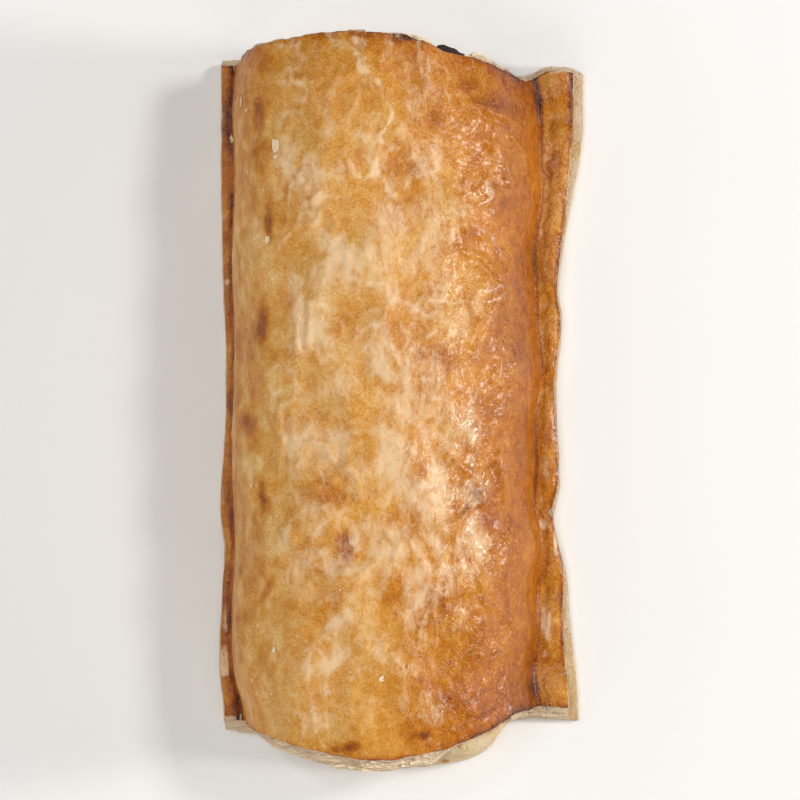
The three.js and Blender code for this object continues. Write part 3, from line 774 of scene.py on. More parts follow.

# %% How brown: the toasted edges, the far cut darkened partly with painted shade, and the leaves of the cuts
LEAF_MOTTLING = 0.34
to_cut = np.clip(np.minimum(y - through(NEAR_CUT, x), through(FAR_CUT, x) - y), 0, 9)
toasted_edge = np.exp(-to_cut / 0.7) * smooth(fractal(x, y * 0, 6, 135), -0.6, 0.3)
# Along the far cut, where the crust curves down, it is darker: partly toasted and partly painted shade.
far_cut_toast_and_shade = np.exp(-to_cut / 0.5) * smooth(y, 60, 68) * smooth(x, -5, 4) * smooth(x, 16, 11)
bake = bake + (0.22 + 0.14 * smooth(y, 0, -40)) * toasted_edge + 0.34 * far_cut_toast_and_shade
leaf_tone = 0.12 + LEAF_MOTTLING * fractal(s * 0.5, k // LEAF_LEVELS * 5.0, 4.0, 136, 4) + 0.2 * (k == 0)
leaf_tone = leaf_tone + 0.26 * smooth(fractal(s, k * 0.5, 4.0, 137, 3), 0.0, 0.5)
bake = np.where(on_glaze, bake, leaf_tone)
set_mask(crust_mesh, "bake", bake)
print("mean bake of the glazed face", bake[on_glaze].mean().round(2))

# %% How pale and dry, with painted highlight on the sloping side
MOST_PALE = 0.58
BLOOM_MOTTLING = ((0.30, 1, 0.7, 5.0, 141, 5),)
LESS_BLOOM = ((0.16, -22, -29), (0.16, 19, 26))
middle = smooth(np.abs(y), 58, 32)
bleach_and_painted_sheen = 0.25 * smooth(x, 24, 6) * smooth(x, -31, -22)
# Around x 15 the paleness is partly painted highlight of the glinting slope.
bleach_and_painted_sheen = bleach_and_painted_sheen + (0.18 * bell(x - 3, 7) + 0.12 * bell(x - 15, 6)) * middle
bleach_and_painted_sheen = bleach_and_painted_sheen + 0.42 * patches(PALE_MARKS, x, y, 1.2)
bloom = np.minimum(bleach_and_painted_sheen, MOST_PALE) + layers(BLOOM_MOTTLING, s, y)
# The glare marks are whitened too: painted highlight over the glossy, crinkled places.
bloom = bloom - 0.10 * smooth(np.abs(y), 50, 68) - steps(LESS_BLOOM, x) + 0.16 * glare(x, y)
broken = smooth(fractal(x, y, 2, 142, 3), -0.5, 0.2)
bloom = bloom + (0.4 * strokes(CRACKS, x, y) + 0.3 * strokes(CRACKS[:2], x, y)) * broken
bloom = bloom + 0.12 * strokes(FOLDS, x, y) * smooth(x, 5, -5) + 0.35 * crackle(s, x, y)
# One of the rim's pale marks is a painted highlight.
rim_bloom_and_glint = 0.05 + patches(RIM_PALE_MARKS, x, y, 0.8) + 0.12 * fractal(x, y, 3.0, 143)
set_mask(crust_mesh, "bloom", mix(bloom, rim_bloom_and_glint, on_rim))
print("mean bloom of the glazed face", bloom[on_glaze].mean().round(2))

# %% How glossy
LEAST_GLAZE, SLOPE_GLAZE, RIM_GLAZE, GLARE_GLAZE = 0.24, 0.40, 0.62, 0.5
sloping = smooth(x, 0, 12) * (1 - 0.5 * smooth(x, 21, 26))
glaze = LEAST_GLAZE + SLOPE_GLAZE * sloping + 0.2 * fractal(s, y, 8, 151) - 0.25 * bleach_and_painted_sheen
glaze = mix(glaze, RIM_GLAZE, on_rim) + GLARE_GLAZE * glare(x, y)
set_mask(crust_mesh, "glaze", glaze)
set_mask(crust_mesh, "skin", k / CRUST_CELLS[2])
print("mean glaze of the glazed face", glaze[on_glaze].mean().round(2))

# %% Masks of the bottom sheet
SHEET_MOTTLING = ((0.10, 1, 1, 7, 161, 4), (0.14, 1, 1, 2.2, 162, 4))
# The mark at (12.6, -70.4) darkens a hole in the tongue: painted shade.
TONGUE_MARKS = ((9.4, -75, 0.9, 0.7, 0, 1.0), (12.6, -70.4, 0.5, 1.2, -30, 0.8))
x, y, z = points_of(sheet_mesh).T
underside = smooth(z, 0.9, 0.1)
golden = smooth(x, 2, 9) * smooth(y, -66, -68) * smooth(z, 0.4, 2.0)
torn_lip = smooth(y, -67, -69) * (1 - golden)
bake = -0.04 + layers(SHEET_MOTTLING, x, y) - 0.03 * golden
bake = bake + 0.24 * smooth(fractal(x + z, y - z, 6.0, 167, 4), 0.0, 0.5)
bake = bake + 0.55 * patches(TONGUE_MARKS, x, y, 0.3)
spots = smooth(fractal(x, y, 9, 163), 0.0, 0.6)
bake = mix(bake, 0.5 + 0.35 * spots + 0.2 * fractal(x, y, 3, 164), underside)
leaf_edges = 0.10 * leaf_wave(x, z) * smooth(z, 0.2, 1.0) + 0.10 * fractal(x * 0.3, z * 6, 5.0, 166)
bake = bake + leaf_edges * (1 - golden)
bloom = 0.62 + 0.5 * fractal(x, y, 3.0, 165) - 0.5 * underside - 0.1 * golden + 0.3 * torn_lip
set_mask(sheet_mesh, "bake", bake)
set_mask(sheet_mesh, "bloom", bloom)
set_mask(sheet_mesh, "glaze", 0.1 + 0.25 * golden)
print("mean bake of the bottom sheet", bake.mean().round(2))

# %% Masks of the meat
x, y, z = points_of(meat_mesh).T
burnt = bell(x - CHAR_X, CHAR_WIDTH * 1.1) * bell(z - CHAR_HEIGHT, CHAR_TALL * 1.6) * smooth(y, 60, 68)
set_mask(meat_mesh, "burnt", 1.25 * burnt + 0.3 * smooth(fractal(x, z, 5, 171), 0.1, 0.6))
set_mask(meat_mesh, "fat", smooth(fractal(x, z + y, 2.2, 172), 0.25, 0.5))

# %% [markdown]
# ## Finishes
# Two effects belong to all the pastry, so each is a shader node group. `oven colour`
# turns the bake mask into a colour from raw cream to scorched, mottles it finely, and
# lays the pale bloom over it. `pastry grain` gives the height of the fine unevenness
# that is too small for the mesh.

# %% Helpers for node trees
def feed(tree, value, socket):
    """Sets a socket to a plain value, or links another node's output to it."""
    if isinstance(value, (int, float, tuple)):
        socket.default_value = value
    else:
        tree.links.new(value, socket)


def new_group(name, inputs, outputs):
    tree = bpy.data.node_groups.new(name, "ShaderNodeTree")
    for label, kind, default in inputs:
        socket = tree.interface.new_socket(label, in_out="INPUT", socket_type=kind)
        socket.default_value = default
    for label, kind in outputs:
        tree.interface.new_socket(label, in_out="OUTPUT", socket_type=kind)
    return tree, tree.nodes.new("NodeGroupInput"), tree.nodes.new("NodeGroupOutput")


def math_node(tree, operation, a, b, clamp=False):
    node = tree.nodes.new("ShaderNodeMath")
    node.operation, node.use_clamp = operation, clamp
    feed(tree, a, node.inputs[0])
    feed(tree, b, node.inputs[1])
    return node.outputs[0]


def plus(tree, a, b, clamp=False):
    return math_node(tree, "ADD", a, b, clamp)


def minus(tree, a, b):
    return math_node(tree, "SUBTRACT", a, b)


def times(tree, a, b, clamp=False):
    return math_node(tree, "MULTIPLY", a, b, clamp)


def noise_node(tree, scale, detail=4.0, roughness=0.55, distortion=0.0, squeeze=(1, 1, 1)):
    """Noise over the piece itself; `scale` is the number of bumps in a metre."""
    place = tree.nodes.new("ShaderNodeTexCoord")
    stretch = tree.nodes.new("ShaderNodeMapping")
    stretch.inputs["Scale"].default_value = squeeze
    tree.links.new(place.outputs["Object"], stretch.inputs["Vector"])
    node = tree.nodes.new("ShaderNodeTexNoise")
    for label, value in (("Scale", scale), ("Detail", detail), ("Roughness", roughness),
                         ("Distortion", distortion)):
        node.inputs[label].default_value = value
    tree.links.new(stretch.outputs["Vector"], node.inputs["Vector"])
    return node.outputs["Fac"]


# %% Helpers for colours
def srgb(red, green, blue):
    """A colour as a screen shows it, 0 to 255, made linear."""
    return tuple(c / 12.92 if c < 0.04045 else ((c + 0.055) / 1.055) ** 2.4
                 for c in (red / 255, green / 255, blue / 255)) + (1.0,)


def mix_colour(tree, factor, a, b, blend="MIX"):
    node = tree.nodes.new("ShaderNodeMix")
    node.data_type, node.blend_type = "RGBA", blend
    for socket, value in ((node.inputs[0], factor), (node.inputs[6], a), (node.inputs[7], b)):
        feed(tree, value, socket)
    return node.outputs[2]


def ramp(tree, factor, stops):
    node = tree.nodes.new("ShaderNodeValToRGB")
    points = node.color_ramp.elements
    while len(points) < len(stops):
        points.new(0.5)
    for point, (at, colour) in zip(points, stops):
        point.position, point.color = at, colour
    tree.links.new(factor, node.inputs[0])
    return node.outputs[0]


# %% The oven colour group
OVEN_STOPS = (
    (0.0, srgb(236, 211, 160)), (0.22, srgb(217, 171, 99)), (0.40, srgb(203, 140, 49)),
    (0.58, srgb(181, 108, 12)), (0.74, srgb(152, 79, 10)), (0.90, srgb(100, 47, 14)),
    (1.0, srgb(54, 26, 18)),
)
BLOOM_COLOUR = srgb(240, 211, 172)
DOUGH = srgb(248, 228, 203)
RUDDY = srgb(255, 238, 222)
ALONG_THE_ROLL = (1.0, 0.6, 1.0)
FINE_SHARE = 1.1
RUDDY_START, RUDDY_GAIN = 0.44, 2.4
PATCHY_GAIN, BLOOM_GAIN, BLOOM_START, DRY_GAIN = 2.6, 1.2, 0.36, 1.7
BLOOM_STRENGTH, BLOOM_UNEVEN = 0.66, 0.75


def make_oven_colour():
    tree, given, out = new_group(
        "oven colour",
        (("Bake", "NodeSocketFloat", 0.4), ("Bloom", "NodeSocketFloat", 0.0),
         ("Mottle", "NodeSocketFloat", 0.12), ("Dry Color", "NodeSocketColor", BLOOM_COLOUR)),
        (("Color", "NodeSocketColor"),))
    coarse = minus(tree, noise_node(tree, 400, 9, 0.72, 0.8), 0.5)
    fine = minus(tree, noise_node(tree, 2600, 3, 0.7), 0.5)
    both = plus(tree, coarse, times(tree, fine, FINE_SHARE))
    baked = plus(tree, given.outputs["Bake"], times(tree, both, given.outputs["Mottle"]), clamp=True)
    colour = ramp(tree, baked, OVEN_STOPS)
    ruddy = times(tree, minus(tree, noise_node(tree, 90, 4, 0.6), RUDDY_START), RUDDY_GAIN, clamp=True)
    colour = mix_colour(tree, ruddy, colour, RUDDY, "MULTIPLY")
    patchy = minus(tree, noise_node(tree, 460, 12, 0.8, 0.5, ALONG_THE_ROLL), 0.5)
    wanted = minus(tree, times(tree, given.outputs["Bloom"], BLOOM_GAIN), BLOOM_START)
    dry = times(tree, plus(tree, wanted, times(tree, patchy, PATCHY_GAIN)), DRY_GAIN, clamp=True)
    strength = plus(tree, times(tree, both, BLOOM_UNEVEN), BLOOM_STRENGTH)
    colour = mix_colour(tree, times(tree, dry, strength), colour, given.outputs["Dry Color"])
    tree.links.new(colour, out.inputs["Color"])
    return tree


OVEN_COLOUR = make_oven_colour()
print(OVEN_COLOUR.name, "has", len(OVEN_COLOUR.nodes), "nodes")


# %% The pastry grain group
def make_pastry_grain():
    tree, given, out = new_group(
        "pastry grain",
        (("Crinkle", "NodeSocketFloat", 0.5), ("Pores", "NodeSocketFloat", 0.3)),
        (("Height", "NodeSocketFloat"),))
    crinkle = times(tree, noise_node(tree, 1150, 2.5, 0.5, 0.8), given.outputs["Crinkle"])
    pores = times(tree, noise_node(tree, 3600, 3, 0.7), given.outputs["Pores"])
    tree.links.new(plus(tree, crinkle, pores), out.inputs["Height"])
    return tree


PASTRY_GRAIN = make_pastry_grain()
print(PASTRY_GRAIN.name, "has", len(PASTRY_GRAIN.nodes), "nodes")

# %% [markdown]
# ## Materials
# The glazed skin has a coat, the dried egg wash, where the glaze mask is strong. The
# cut leaves have none and are matt. Both read the same masks, so their colours meet.
# The bottom sheet and the loose flakes are made like the cut leaves, from other values.

# %% Helpers for materials
def new_material(name, specular):
    material = bpy.data.materials.new(name)
    material.use_nodes = True
    shader = material.node_tree.nodes["Principled BSDF"]
    shader.inputs["Specular IOR Level"].default_value = specular
    return material, material.node_tree, shader


def mask(tree, name):
    node = tree.nodes.new("ShaderNodeAttribute")
    node.attribute_name = name
    return node.outputs["Fac"]


def use_group(tree, group, **values):
    node = tree.nodes.new("ShaderNodeGroup")
    node.node_tree = group
    for label, value in values.items():
        feed(tree, value, node.inputs[label.replace("_", " ")])
    return node.outputs[0]


def add_grain(tree, shader, height, distance):
    """Fine unevenness: a bump whose heights are up to `distance` metres."""
    bump = tree.nodes.new("ShaderNodeBump")
    bump.inputs["Distance"].default_value = distance
    tree.links.new(height, bump.inputs["Height"])
    tree.links.new(bump.outputs["Normal"], shader.inputs["Normal"])


# %% The glazed skin
def glazed_skin():
    material, tree, shader = new_material("egg-glazed skin", 0.3)
    colour = use_group(tree, OVEN_COLOUR, Bake=mask(tree, "bake"), Bloom=mask(tree, "bloom"),
                       Mottle=0.62)
    tree.links.new(colour, shader.inputs["Base Color"])
    glaze = mask(tree, "glaze")
    rough = minus(tree, 0.46, times(tree, glaze, 0.28))
    uneven = times(tree, minus(tree, noise_node(tree, 600), 0.5), 0.2)
    tree.links.new(plus(tree, rough, uneven), shader.inputs["Roughness"])
    wet = times(tree, math_node(tree, "POWER", glaze, 2.0), 0.24)
    tree.links.new(wet, shader.inputs["Coat Weight"])
    shader.inputs["Coat Roughness"].default_value = 0.18
    grain = use_group(tree, PASTRY_GRAIN, Crinkle=plus(tree, glaze, 0.4), Pores=0.06)
    add_grain(tree, shader, grain, 0.00026)
    return material


SKIN = glazed_skin()
print(SKIN.name, "has", len(SKIN.node_tree.nodes), "nodes")


# %% The matt finishes: cut leaves, the bottom sheet and loose flakes
def matt_pastry(name, specular, bake, bloom, mottle, crinkle, pores, height):
    """Dry dough; bake is a function of the tree, so that it can add its own nodes."""
    material, tree, shader = new_material(name, specular)
    bloom = mask(tree, bloom) if isinstance(bloom, str) else bloom
    colour = use_group(tree, OVEN_COLOUR, Bake=bake(tree), Bloom=bloom, Mottle=mottle, Dry_Color=DOUGH)
    tree.links.new(colour, shader.inputs["Base Color"])
    add_grain(tree, shader, use_group(tree, PASTRY_GRAIN, Crinkle=crinkle, Pores=pores), height)
    return material, tree, shader


def leaf_bake(tree):
    """Cut leaves are paler than the skin, but toasted where they meet it."""
    toasted = times(tree, math_node(tree, "POWER", mask(tree, "skin"), 3.0), 0.5)
    return plus(tree, times(tree, mask(tree, "bake"), 0.6), toasted)


def flake_bake(tree):
    return minus(tree, times(tree, noise_node(tree, 300, 3), 0.55), 0.25)


LEAVES, _, shader = matt_pastry("cut pastry leaves", 0.2, leaf_bake, 0.9, 0.6, 0.9, 0.6, 0.0009)
shader.inputs["Roughness"].default_value = 0.8
FLAKE, _, shader = matt_pastry("dry pastry flake", 0.3, flake_bake, 1.05, 0.5, 0.8, 0.5, 0.0004)
shader.inputs["Roughness"].default_value = 0.75
PLAIN, tree, shader = matt_pastry("pale bottom pastry", 0.25, lambda tree: mask(tree, "bake"),
                                  "bloom", 0.5, 0.8, 0.5, 0.0009)
rough = minus(tree, 0.8, times(tree, mask(tree, "glaze"), 0.5))
tree.links.new(rough, shader.inputs["Roughness"])
print("matt finishes:", [m.name for m in (LEAVES, FLAKE, PLAIN)])

# %% The meat
MEAT_STOPS = ((0.30, srgb(96, 58, 42)), (0.5, srgb(148, 98, 72)), (0.68, srgb(182, 134, 102)))
FAT, CHAR = srgb(206, 170, 138), srgb(46, 27, 18)


def baked_meat():
    material, tree, shader = new_material("baked sausage meat", 0.35)
    meat = ramp(tree, noise_node(tree, 380, 6, 0.65), MEAT_STOPS)
    meat = mix_colour(tree, mask(tree, "fat"), meat, FAT)
    meat = mix_colour(tree, mask(tree, "burnt"), meat, CHAR)
    tree.links.new(meat, shader.inputs["Base Color"])
    tree.links.new(plus(tree, 0.42, times(tree, mask(tree, "burnt"), 0.3)), shader.inputs["Roughness"])
    add_grain(tree, shader, noise_node(tree, 1100, 5, 0.6), 0.0005)
    return material


COOKED = baked_meat()
print(COOKED.name, "has", len(COOKED.node_tree.nodes), "nodes")

# %% [markdown]
# ## Pieces in place of the solids
# Each mesh becomes an object at the origin that rides on the roll's one body and
# stands in for its solid. The region of a face says whether it is skin or a cut.

# %% Make the objects
SKIN_REGION = 0


def add_piece(mesh, name, materials, region, node):
    """The skin takes the first material, and the cuts and the underside the last."""
    is_skin = region == SKIN_REGION
    for material in materials:
        mesh.materials.append(material)
    slots = np.where(is_skin, 0, len(materials) - 1)
    mesh.polygons.foreach_set("material_index", slots.astype(np.int32))
    mesh.polygons.foreach_set("use_smooth", is_skin | (len(materials) == 1))
    mesh.update()
    piece = bpy.data.objects.new(name, mesh)
    bpy.context.scene.collection.objects.link(piece)
    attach(piece, "root")
    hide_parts(node)
    print(name, "stands in for", node)


add_piece(crust_mesh, "glazed_crust", (SKIN, LEAVES), crust_region, TOP)
add_piece(sheet_mesh, "puffed_sheet", (PLAIN,), sheet_region, BOTTOM)
add_piece(meat_mesh, "baked_meat", (COOKED,), meat_region, MEAT)

# %% [markdown]
# ## Loose flakes and torn leaves
# Puff pastry sheds flakes. Each is a thin, curled chip, and they are too many to place
# one by one, so Geometry Nodes puts chips on points: along the cut edges, where torn
# leaves stand out, and on the crust, where a few chips have stuck. Every point carries
# the direction that its chip faces and its size.

# %% A handful of chip shapes
CHIP_SHAPES = 4
CHIP_POINTS = 9
CHIP_THICKNESS, CHIP_WIDTH, CHIP_CUP, CHIP_UNEVEN = 0.12, 0.75, 0.18, 0.28


def make_chip(seed):
    """A thin, uneven, slightly cupped disc about 1 mm across, lying in XY."""
    random = np.random.default_rng(seed)
    turn = np.linspace(0, 2 * np.pi, CHIP_POINTS, endpoint=False)
    reach = 0.5 * (1 + CHIP_UNEVEN * random.uniform(-1, 1, CHIP_POINTS))
    rim_x, rim_y = reach * np.cos(turn), CHIP_WIDTH * reach * np.sin(turn)
    cup = CHIP_CUP * random.uniform(0.2, 1, CHIP_POINTS)
    mesh = bpy.data.meshes.new("chip")
    build = bmesh.new()
    rings = []
    for share, level in ((0.0, 1), (0.6, 1), (1.0, 1), (1.0, 0), (0.6, 0), (0.0, 0)):
        lift = (level - 0.5) * CHIP_THICKNESS
        if share == 0:
            rings.append([build.verts.new((0, 0, lift * MM))])
        else:
            rings.append([build.verts.new((a * share * MM, b * share * MM, (c * share + lift) * MM))
                          for a, b, c in zip(rim_x, rim_y, cup)])
    for inner, outer in zip(rings, rings[1:]):
        for n in range(CHIP_POINTS):
            m = (n + 1) % CHIP_POINTS
            corners = ((inner, n), (outer, n), (outer, m), (inner, m))
            build.faces.new(list(dict.fromkeys(ring[at % len(ring)] for ring, at in corners)))
    bmesh.ops.recalc_face_normals(build, faces=build.faces)
    build.to_mesh(mesh)
    build.free()
    return bpy.data.objects.new("chip", mesh)


chips = bpy.data.collections.new("chips")
for seed in range(CHIP_SHAPES):
    chips.objects.link(make_chip(seed + 1))


# %% The tree that puts chips on points
def chip_tree(material):
    tree = bpy.data.node_groups.new("chips on points", "GeometryNodeTree")
    tree.interface.new_socket("Geometry", in_out="INPUT", socket_type="NodeSocketGeometry")
    for label, default in (("Tilt", 0.5), ("Longest", 1.6)):
        socket = tree.interface.new_socket(label, in_out="INPUT", socket_type="NodeSocketFloat")
        socket.default_value = default
    tree.interface.new_socket("Geometry", in_out="OUTPUT", socket_type="NodeSocketGeometry")
    given, out = tree.nodes.new("NodeGroupInput"), tree.nodes.new("NodeGroupOutput")

    def named(name):
        node = tree.nodes.new("GeometryNodeInputNamedAttribute")
        node.data_type = "FLOAT_VECTOR"
        node.inputs["Name"].default_value = name
        return node.outputs["Attribute"]

    def any_value(kind, low, high, seed):
        node = tree.nodes.new("FunctionNodeRandomValue")
        node.data_type = kind
        for name, value in (("Min", low), ("Max", high)):
            feed(tree, value, [s for s in node.inputs if s.name == name and s.enabled][0])
        node.inputs["Seed"].default_value = seed
        return [s for s in node.outputs if s.enabled][0]

    def scaled(vector, factor):
        node = tree.nodes.new("ShaderNodeVectorMath")
        node.operation = "SCALE"
        tree.links.new(vector, node.inputs[0])
        tree.links.new(factor, node.inputs["Scale"])
        return node.outputs["Vector"]

    pick = tree.nodes.new("GeometryNodeCollectionInfo")
    pick.inputs["Collection"].default_value = chips
    pick.inputs["Separate Children"].default_value = True
    face = tree.nodes.new("FunctionNodeAlignRotationToVector")
    face.axis = "Z"
    tree.links.new(named("facing"), face.inputs["Vector"])
    spin = tree.nodes.new("FunctionNodeRotateRotation")
    spin.rotation_space = "LOCAL"
    tree.links.new(face.outputs["Rotation"], spin.inputs["Rotation"])
    turn = any_value("FLOAT_VECTOR", (-1.0, -0.6, -2.0), (1.0, 0.6, 2.0), 3)
    tree.links.new(scaled(turn, given.outputs["Tilt"]), spin.inputs["Rotate By"])
    size = scaled(named("size"), any_value("FLOAT", 0.7, given.outputs["Longest"], 5))
    place = tree.nodes.new("GeometryNodeInstanceOnPoints")
    place.inputs["Pick Instance"].default_value = True
    tree.links.new(given.outputs["Geometry"], place.inputs["Points"])
    tree.links.new(pick.outputs[0], place.inputs["Instance"])
    tree.links.new(spin.outputs["Rotation"], place.inputs["Rotation"])
    tree.links.new(size, place.inputs["Scale"])
    real = tree.nodes.new("GeometryNodeRealizeInstances")
    finish = tree.nodes.new("GeometryNodeSetMaterial")
    finish.inputs["Material"].default_value = material
    tree.links.new(place.outputs["Instances"], real.inputs["Geometry"])
    tree.links.new(real.outputs["Geometry"], finish.inputs["Geometry"])
    tree.links.new(finish.outputs["Geometry"], out.inputs["Geometry"])
    return tree


# %% Make a piece of chips
def scatter_chips(name, points, facing, size, tilt, longest):
    """Points and sizes are in millimetres, facing is a direction for each point."""
    seeds = bpy.data.meshes.new(name + " points")
    seeds.from_pydata((np.asarray(points) * MM).tolist(), [], [])
    for label, values in (("facing", facing), ("size", size)):
        attribute = seeds.attributes.new(label, "FLOAT_VECTOR", "POINT")
        attribute.data.foreach_set("vector", np.asarray(values, np.float32).ravel())
    source = bpy.data.objects.new(name + " points", seeds)
    bpy.context.scene.collection.objects.link(source)
    modifier = source.modifiers.new("chips", "NODES")
    modifier.node_group = chip_tree(FLAKE)
    settings = {"Tilt": tilt, "Longest": longest}
    for socket in modifier.node_group.interface.items_tree:
        if socket.in_out == "INPUT" and socket.name in settings:
            modifier[socket.identifier] = settings[socket.name]
    evaluated = source.evaluated_get(bpy.context.evaluated_depsgraph_get())
    mesh = bpy.data.meshes.new_from_object(evaluated)
    bpy.data.objects.remove(source)
    piece = bpy.data.objects.new(name, mesh)
    bpy.context.scene.collection.objects.link(piece)
    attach(piece, "root")
    print(name, "has", len(points), "chips and", len(mesh.polygons), "faces")

# %% [markdown]
# ## Torn leaves along the cuts
# The leaves stand out of the cut face of the crust, lie in its layers and are longer
# than they are thick. A few are missing, so the edge stays ragged.

# %% Points along the two cuts
NEAR_CHIPS, FAR_CHIPS = 130, 22
NEAR_REACH, FAR_REACH, CORNER_REACH = (-27, 9), (3, 6.5), (14.5, 21)
SHORTEST_LEAF, LONGEST_LEAF, LEAF_DEPTHS = 0.6, 4.8, (0.7, 1.7)
random = np.random.default_rng(7)


def cut_leaf_points(end_row, outward, count, reach, tapered):
    """Places on the cut face, the layers' directions there and the leaves' sizes."""
    x_top = OUTER_X[:, end_row]
    within = np.flatnonzero((x_top > reach[0]) & (x_top < reach[1]))
    i = random.choice(within, count)
    t = random.uniform(0.0, 0.85, count)
    j = np.full(count, end_row)
    points = crust_place(i, j, np.round(t * CRUST_CELLS[2]).astype(int))
    inner = crust_place(i, j, np.zeros(count, int))
    outer = crust_place(i, j, np.full(count, CRUST_CELLS[2]))
    facing = outer - inner
    facing[:, 1] = 0
    facing /= np.maximum(np.linalg.norm(facing, axis=1, keepdims=True), 1e-6)
    points[:, 1] += outward * random.uniform(-0.8, -0.2, count)
    taper = smooth(x_top[i], reach[1] + 1, reach[1] - 9) if tapered else 0.8
    wide = 0.8 + random.uniform(SHORTEST_LEAF, LONGEST_LEAF, count) * taper
    wide = wide * random.uniform(0.6, 1.2, count)
    deep = random.uniform(*LEAF_DEPTHS, count)
    return points, facing, np.stack([wide, deep, np.ones(count)], axis=1)


near_leaves = cut_leaf_points(0, -1, NEAR_CHIPS, NEAR_REACH, True)
far_leaves = cut_leaf_points(CRUST_CELLS[1], 1, FAR_CHIPS, FAR_REACH, False)
corner_leaves = cut_leaf_points(CRUST_CELLS[1], 1, FAR_CHIPS, CORNER_REACH, False)
leaf_points, leaf_facing, leaf_size = (
    np.concatenate(parts) for parts in zip(near_leaves, far_leaves, corner_leaves))
scatter_chips("torn_leaves", leaf_points, leaf_facing, leaf_size, tilt=0.10, longest=1.2)

# %% [markdown]
# ## Flakes that stuck to the crust
# Each is placed where the real one shows: its middle seen from above, and its length
# across and along. The row of the crust's points that lies nearest gives its height.

# %% Flakes on the glaze
STUCK_FLAKES = (
    (-32.0, 60.8, 0.8, 2.4), (-30.7, 58.5, 0.7, 0.7), (-33.5, 60.8, 0.6, 0.6), (-34.9, 54.2, 0.6, 1.6),
    (-24.8, 50.6, 1.7, 3.0), (-24.6, 48.2, 0.9, 0.9), (-30.6, 46.2, 0.8, 0.6), (-27.0, 42.0, 0.5, 0.6),
    (-26.5, 32.0, 1.0, 1.6), (-29.7, -17.0, 0.6, 1.2), (-25.1, -49.8, 1.3, 1.5), (-3.6, -55.6, 1.6, 1.6),
    (-1.2, -59.2, 0.7, 0.7), (-28.2, -45.0, 0.6, 0.8), (-29.6, -56.4, 0.5, 0.5), (-25.3, -58.6, 0.5, 0.5),
    (-28.6, -59.3, 0.6, 0.5), (-20.4, 15.6, 0.4, 0.6), (-10.0, -54.0, 0.5, 0.4), (-17.8, -62.0, 0.4, 0.5),
)
STRAY_FLAKES, STRAY_SIZE = 46, 0.35
STRAY_X, STRAY_Y = (-33, 10), (-64, 64)
FLAKE_LIFT = 0.12


def on_crust(x, y):
    """The point of the glazed face that lies nearest to (x, y) seen from above."""
    nearest = np.argmin((OUTER_X - x) ** 2 + (OUTER_Y - y) ** 2)
    i, j = np.unravel_index(nearest, OUTER_X.shape)
    i, j = np.clip(i, 1, OUTER_X.shape[0] - 2), np.clip(j, 1, OUTER_X.shape[1] - 2)
    across = np.array([grid[i + 1, j] - grid[i - 1, j] for grid in (OUTER_X, OUTER_Y, OUTER_Z)])
    along = np.array([grid[i, j + 1] - grid[i, j - 1] for grid in (OUTER_X, OUTER_Y, OUTER_Z)])
    facing = np.cross(across, along)
    facing = facing / np.linalg.norm(facing)
    return np.add((OUTER_X[i, j], OUTER_Y[i, j], OUTER_Z[i, j]), FLAKE_LIFT * facing), facing


strays = zip(random.uniform(*STRAY_X, STRAY_FLAKES), random.uniform(*STRAY_Y, STRAY_FLAKES))
flakes = STUCK_FLAKES + tuple((x, y, STRAY_SIZE, STRAY_SIZE) for x, y in strays)
places = [on_crust(x, y) for x, y, _, _ in flakes]
stuck_points = np.array([point for point, _ in places])
stuck_facing = np.array([facing for _, facing in places])
stuck_size = np.array([(wide, long * 1.25, 0.8) for _, _, wide, long in flakes])
scatter_chips("stuck_flakes", stuck_points, stuck_facing, stuck_size, tilt=0.12, longest=1.2)

# %% [markdown]
# ## Camera, light and floor
# The photograph looks straight down. Its soft light comes from above and, lower and
# stronger, from the right, which puts glints on the crinkles of the sloping side. Two
# large, warm lights fill in the steep side and the near end, so that they stay golden.

# %% Camera
CAMERA_HEIGHT = 620.0
VIEW_WIDTH = 168.0
SENSOR = 36.0
camera_data = bpy.data.cameras.new("camera")
camera_data.sensor_width = SENSOR
camera_data.lens = SENSOR * CAMERA_HEIGHT / VIEW_WIDTH
camera = bpy.data.objects.new("camera", camera_data)
camera.location = (0, 0, CAMERA_HEIGHT * MM)
bpy.context.scene.collection.objects.link(camera)
bpy.context.scene.camera = camera


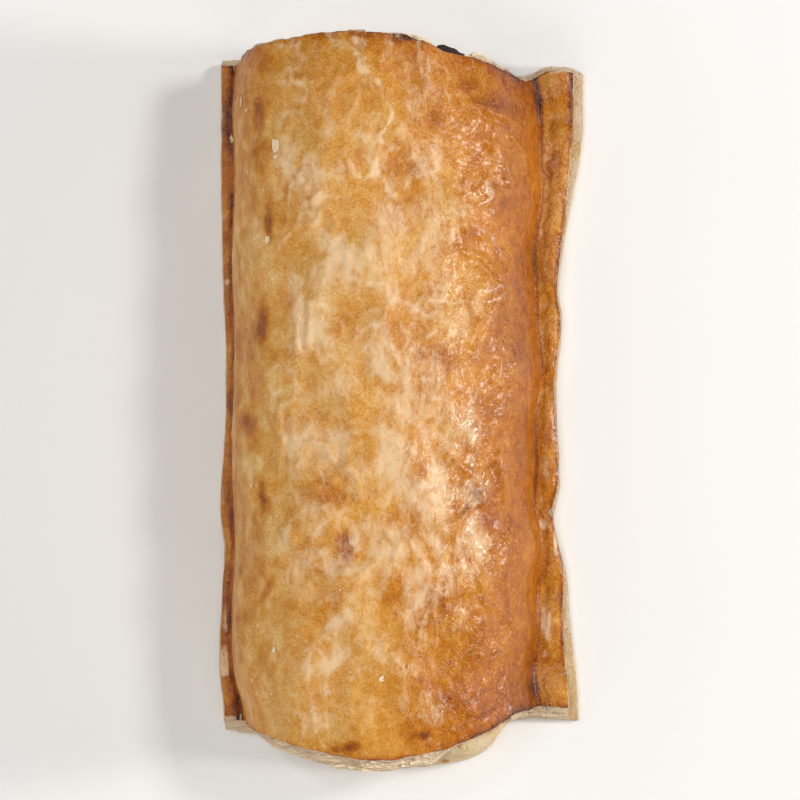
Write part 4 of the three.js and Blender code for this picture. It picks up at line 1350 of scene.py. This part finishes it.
# %% Lights, as (name, place, size, power, colour)
LIGHTS = (
    ("overhead softbox", (-0.12, 0.05, 1.0), (0.3, 0.3), 2.1, (1, 1, 1)),
    ("small high light", (-0.3, 0.3, 0.95), (0.07, 0.07), 0.65, (1, 1, 1)),
    ("key from the right", (0.9, 0.02, 0.29), (0.1, 0.14), 4.9, (1, 0.97, 0.92)),
    ("high key from the right", (0.6, 0.25, 0.75), (0.15, 0.15), 3.0, (1, 0.98, 0.95)),
    ("fill from the left", (-0.9, -0.1, 0.5), (1.0, 1.0), 3.6, (1, 0.95, 0.86)),
    ("fill from the near end", (0.15, -0.95, 0.45), (0.8, 0.5), 2.9, (1, 0.95, 0.88)),
)
for name, place, size, power, colour in LIGHTS:
    data = bpy.data.lights.new(name, "AREA")
    data.shape, data.size, data.size_y = "RECTANGLE", size[0], size[1]
    data.energy, data.color = power, colour
    lamp = bpy.data.objects.new(name, data)
    lamp.location = place
    lamp.rotation_euler = (-lamp.location).to_track_quat("-Z", "Y").to_euler()
    bpy.context.scene.collection.objects.link(lamp)
print(len(LIGHTS), "lights aim at the roll")

# %% Light from the room
ROOM_LIGHT = 0.13
world = bpy.data.worlds.new("room")
world.use_nodes = True
background = world.node_tree.nodes["Background"]
background.inputs["Color"].default_value = (1, 1, 1, 1)
background.inputs["Strength"].default_value = ROOM_LIGHT
bpy.context.scene.world = world
bpy.context.scene.view_settings.view_transform = "Standard"

# %% Floor
FLOOR_SIZE, FLOOR_DROP, FLOOR_TONE = 6.0, 0.0002, 0.93
half = FLOOR_SIZE / 2
corners = [(-half, -half, 0), (half, -half, 0), (half, half, 0), (-half, half, 0)]
floor_mesh = bpy.data.meshes.new("floor")
floor_mesh.from_pydata(corners, [], [(0, 1, 2, 3)])
floor = bpy.data.objects.new("floor", floor_mesh)
bpy.context.scene.collection.objects.link(floor)
floor.location.z = -FLOOR_DROP
floor_material, _, floor_shader = new_material("pale table", 0.5)
floor_shader.inputs["Base Color"].default_value = (FLOOR_TONE, FLOOR_TONE, FLOOR_TONE, 1)
floor_shader.inputs["Roughness"].default_value = 0.9
floor_mesh.materials.append(floor_material)
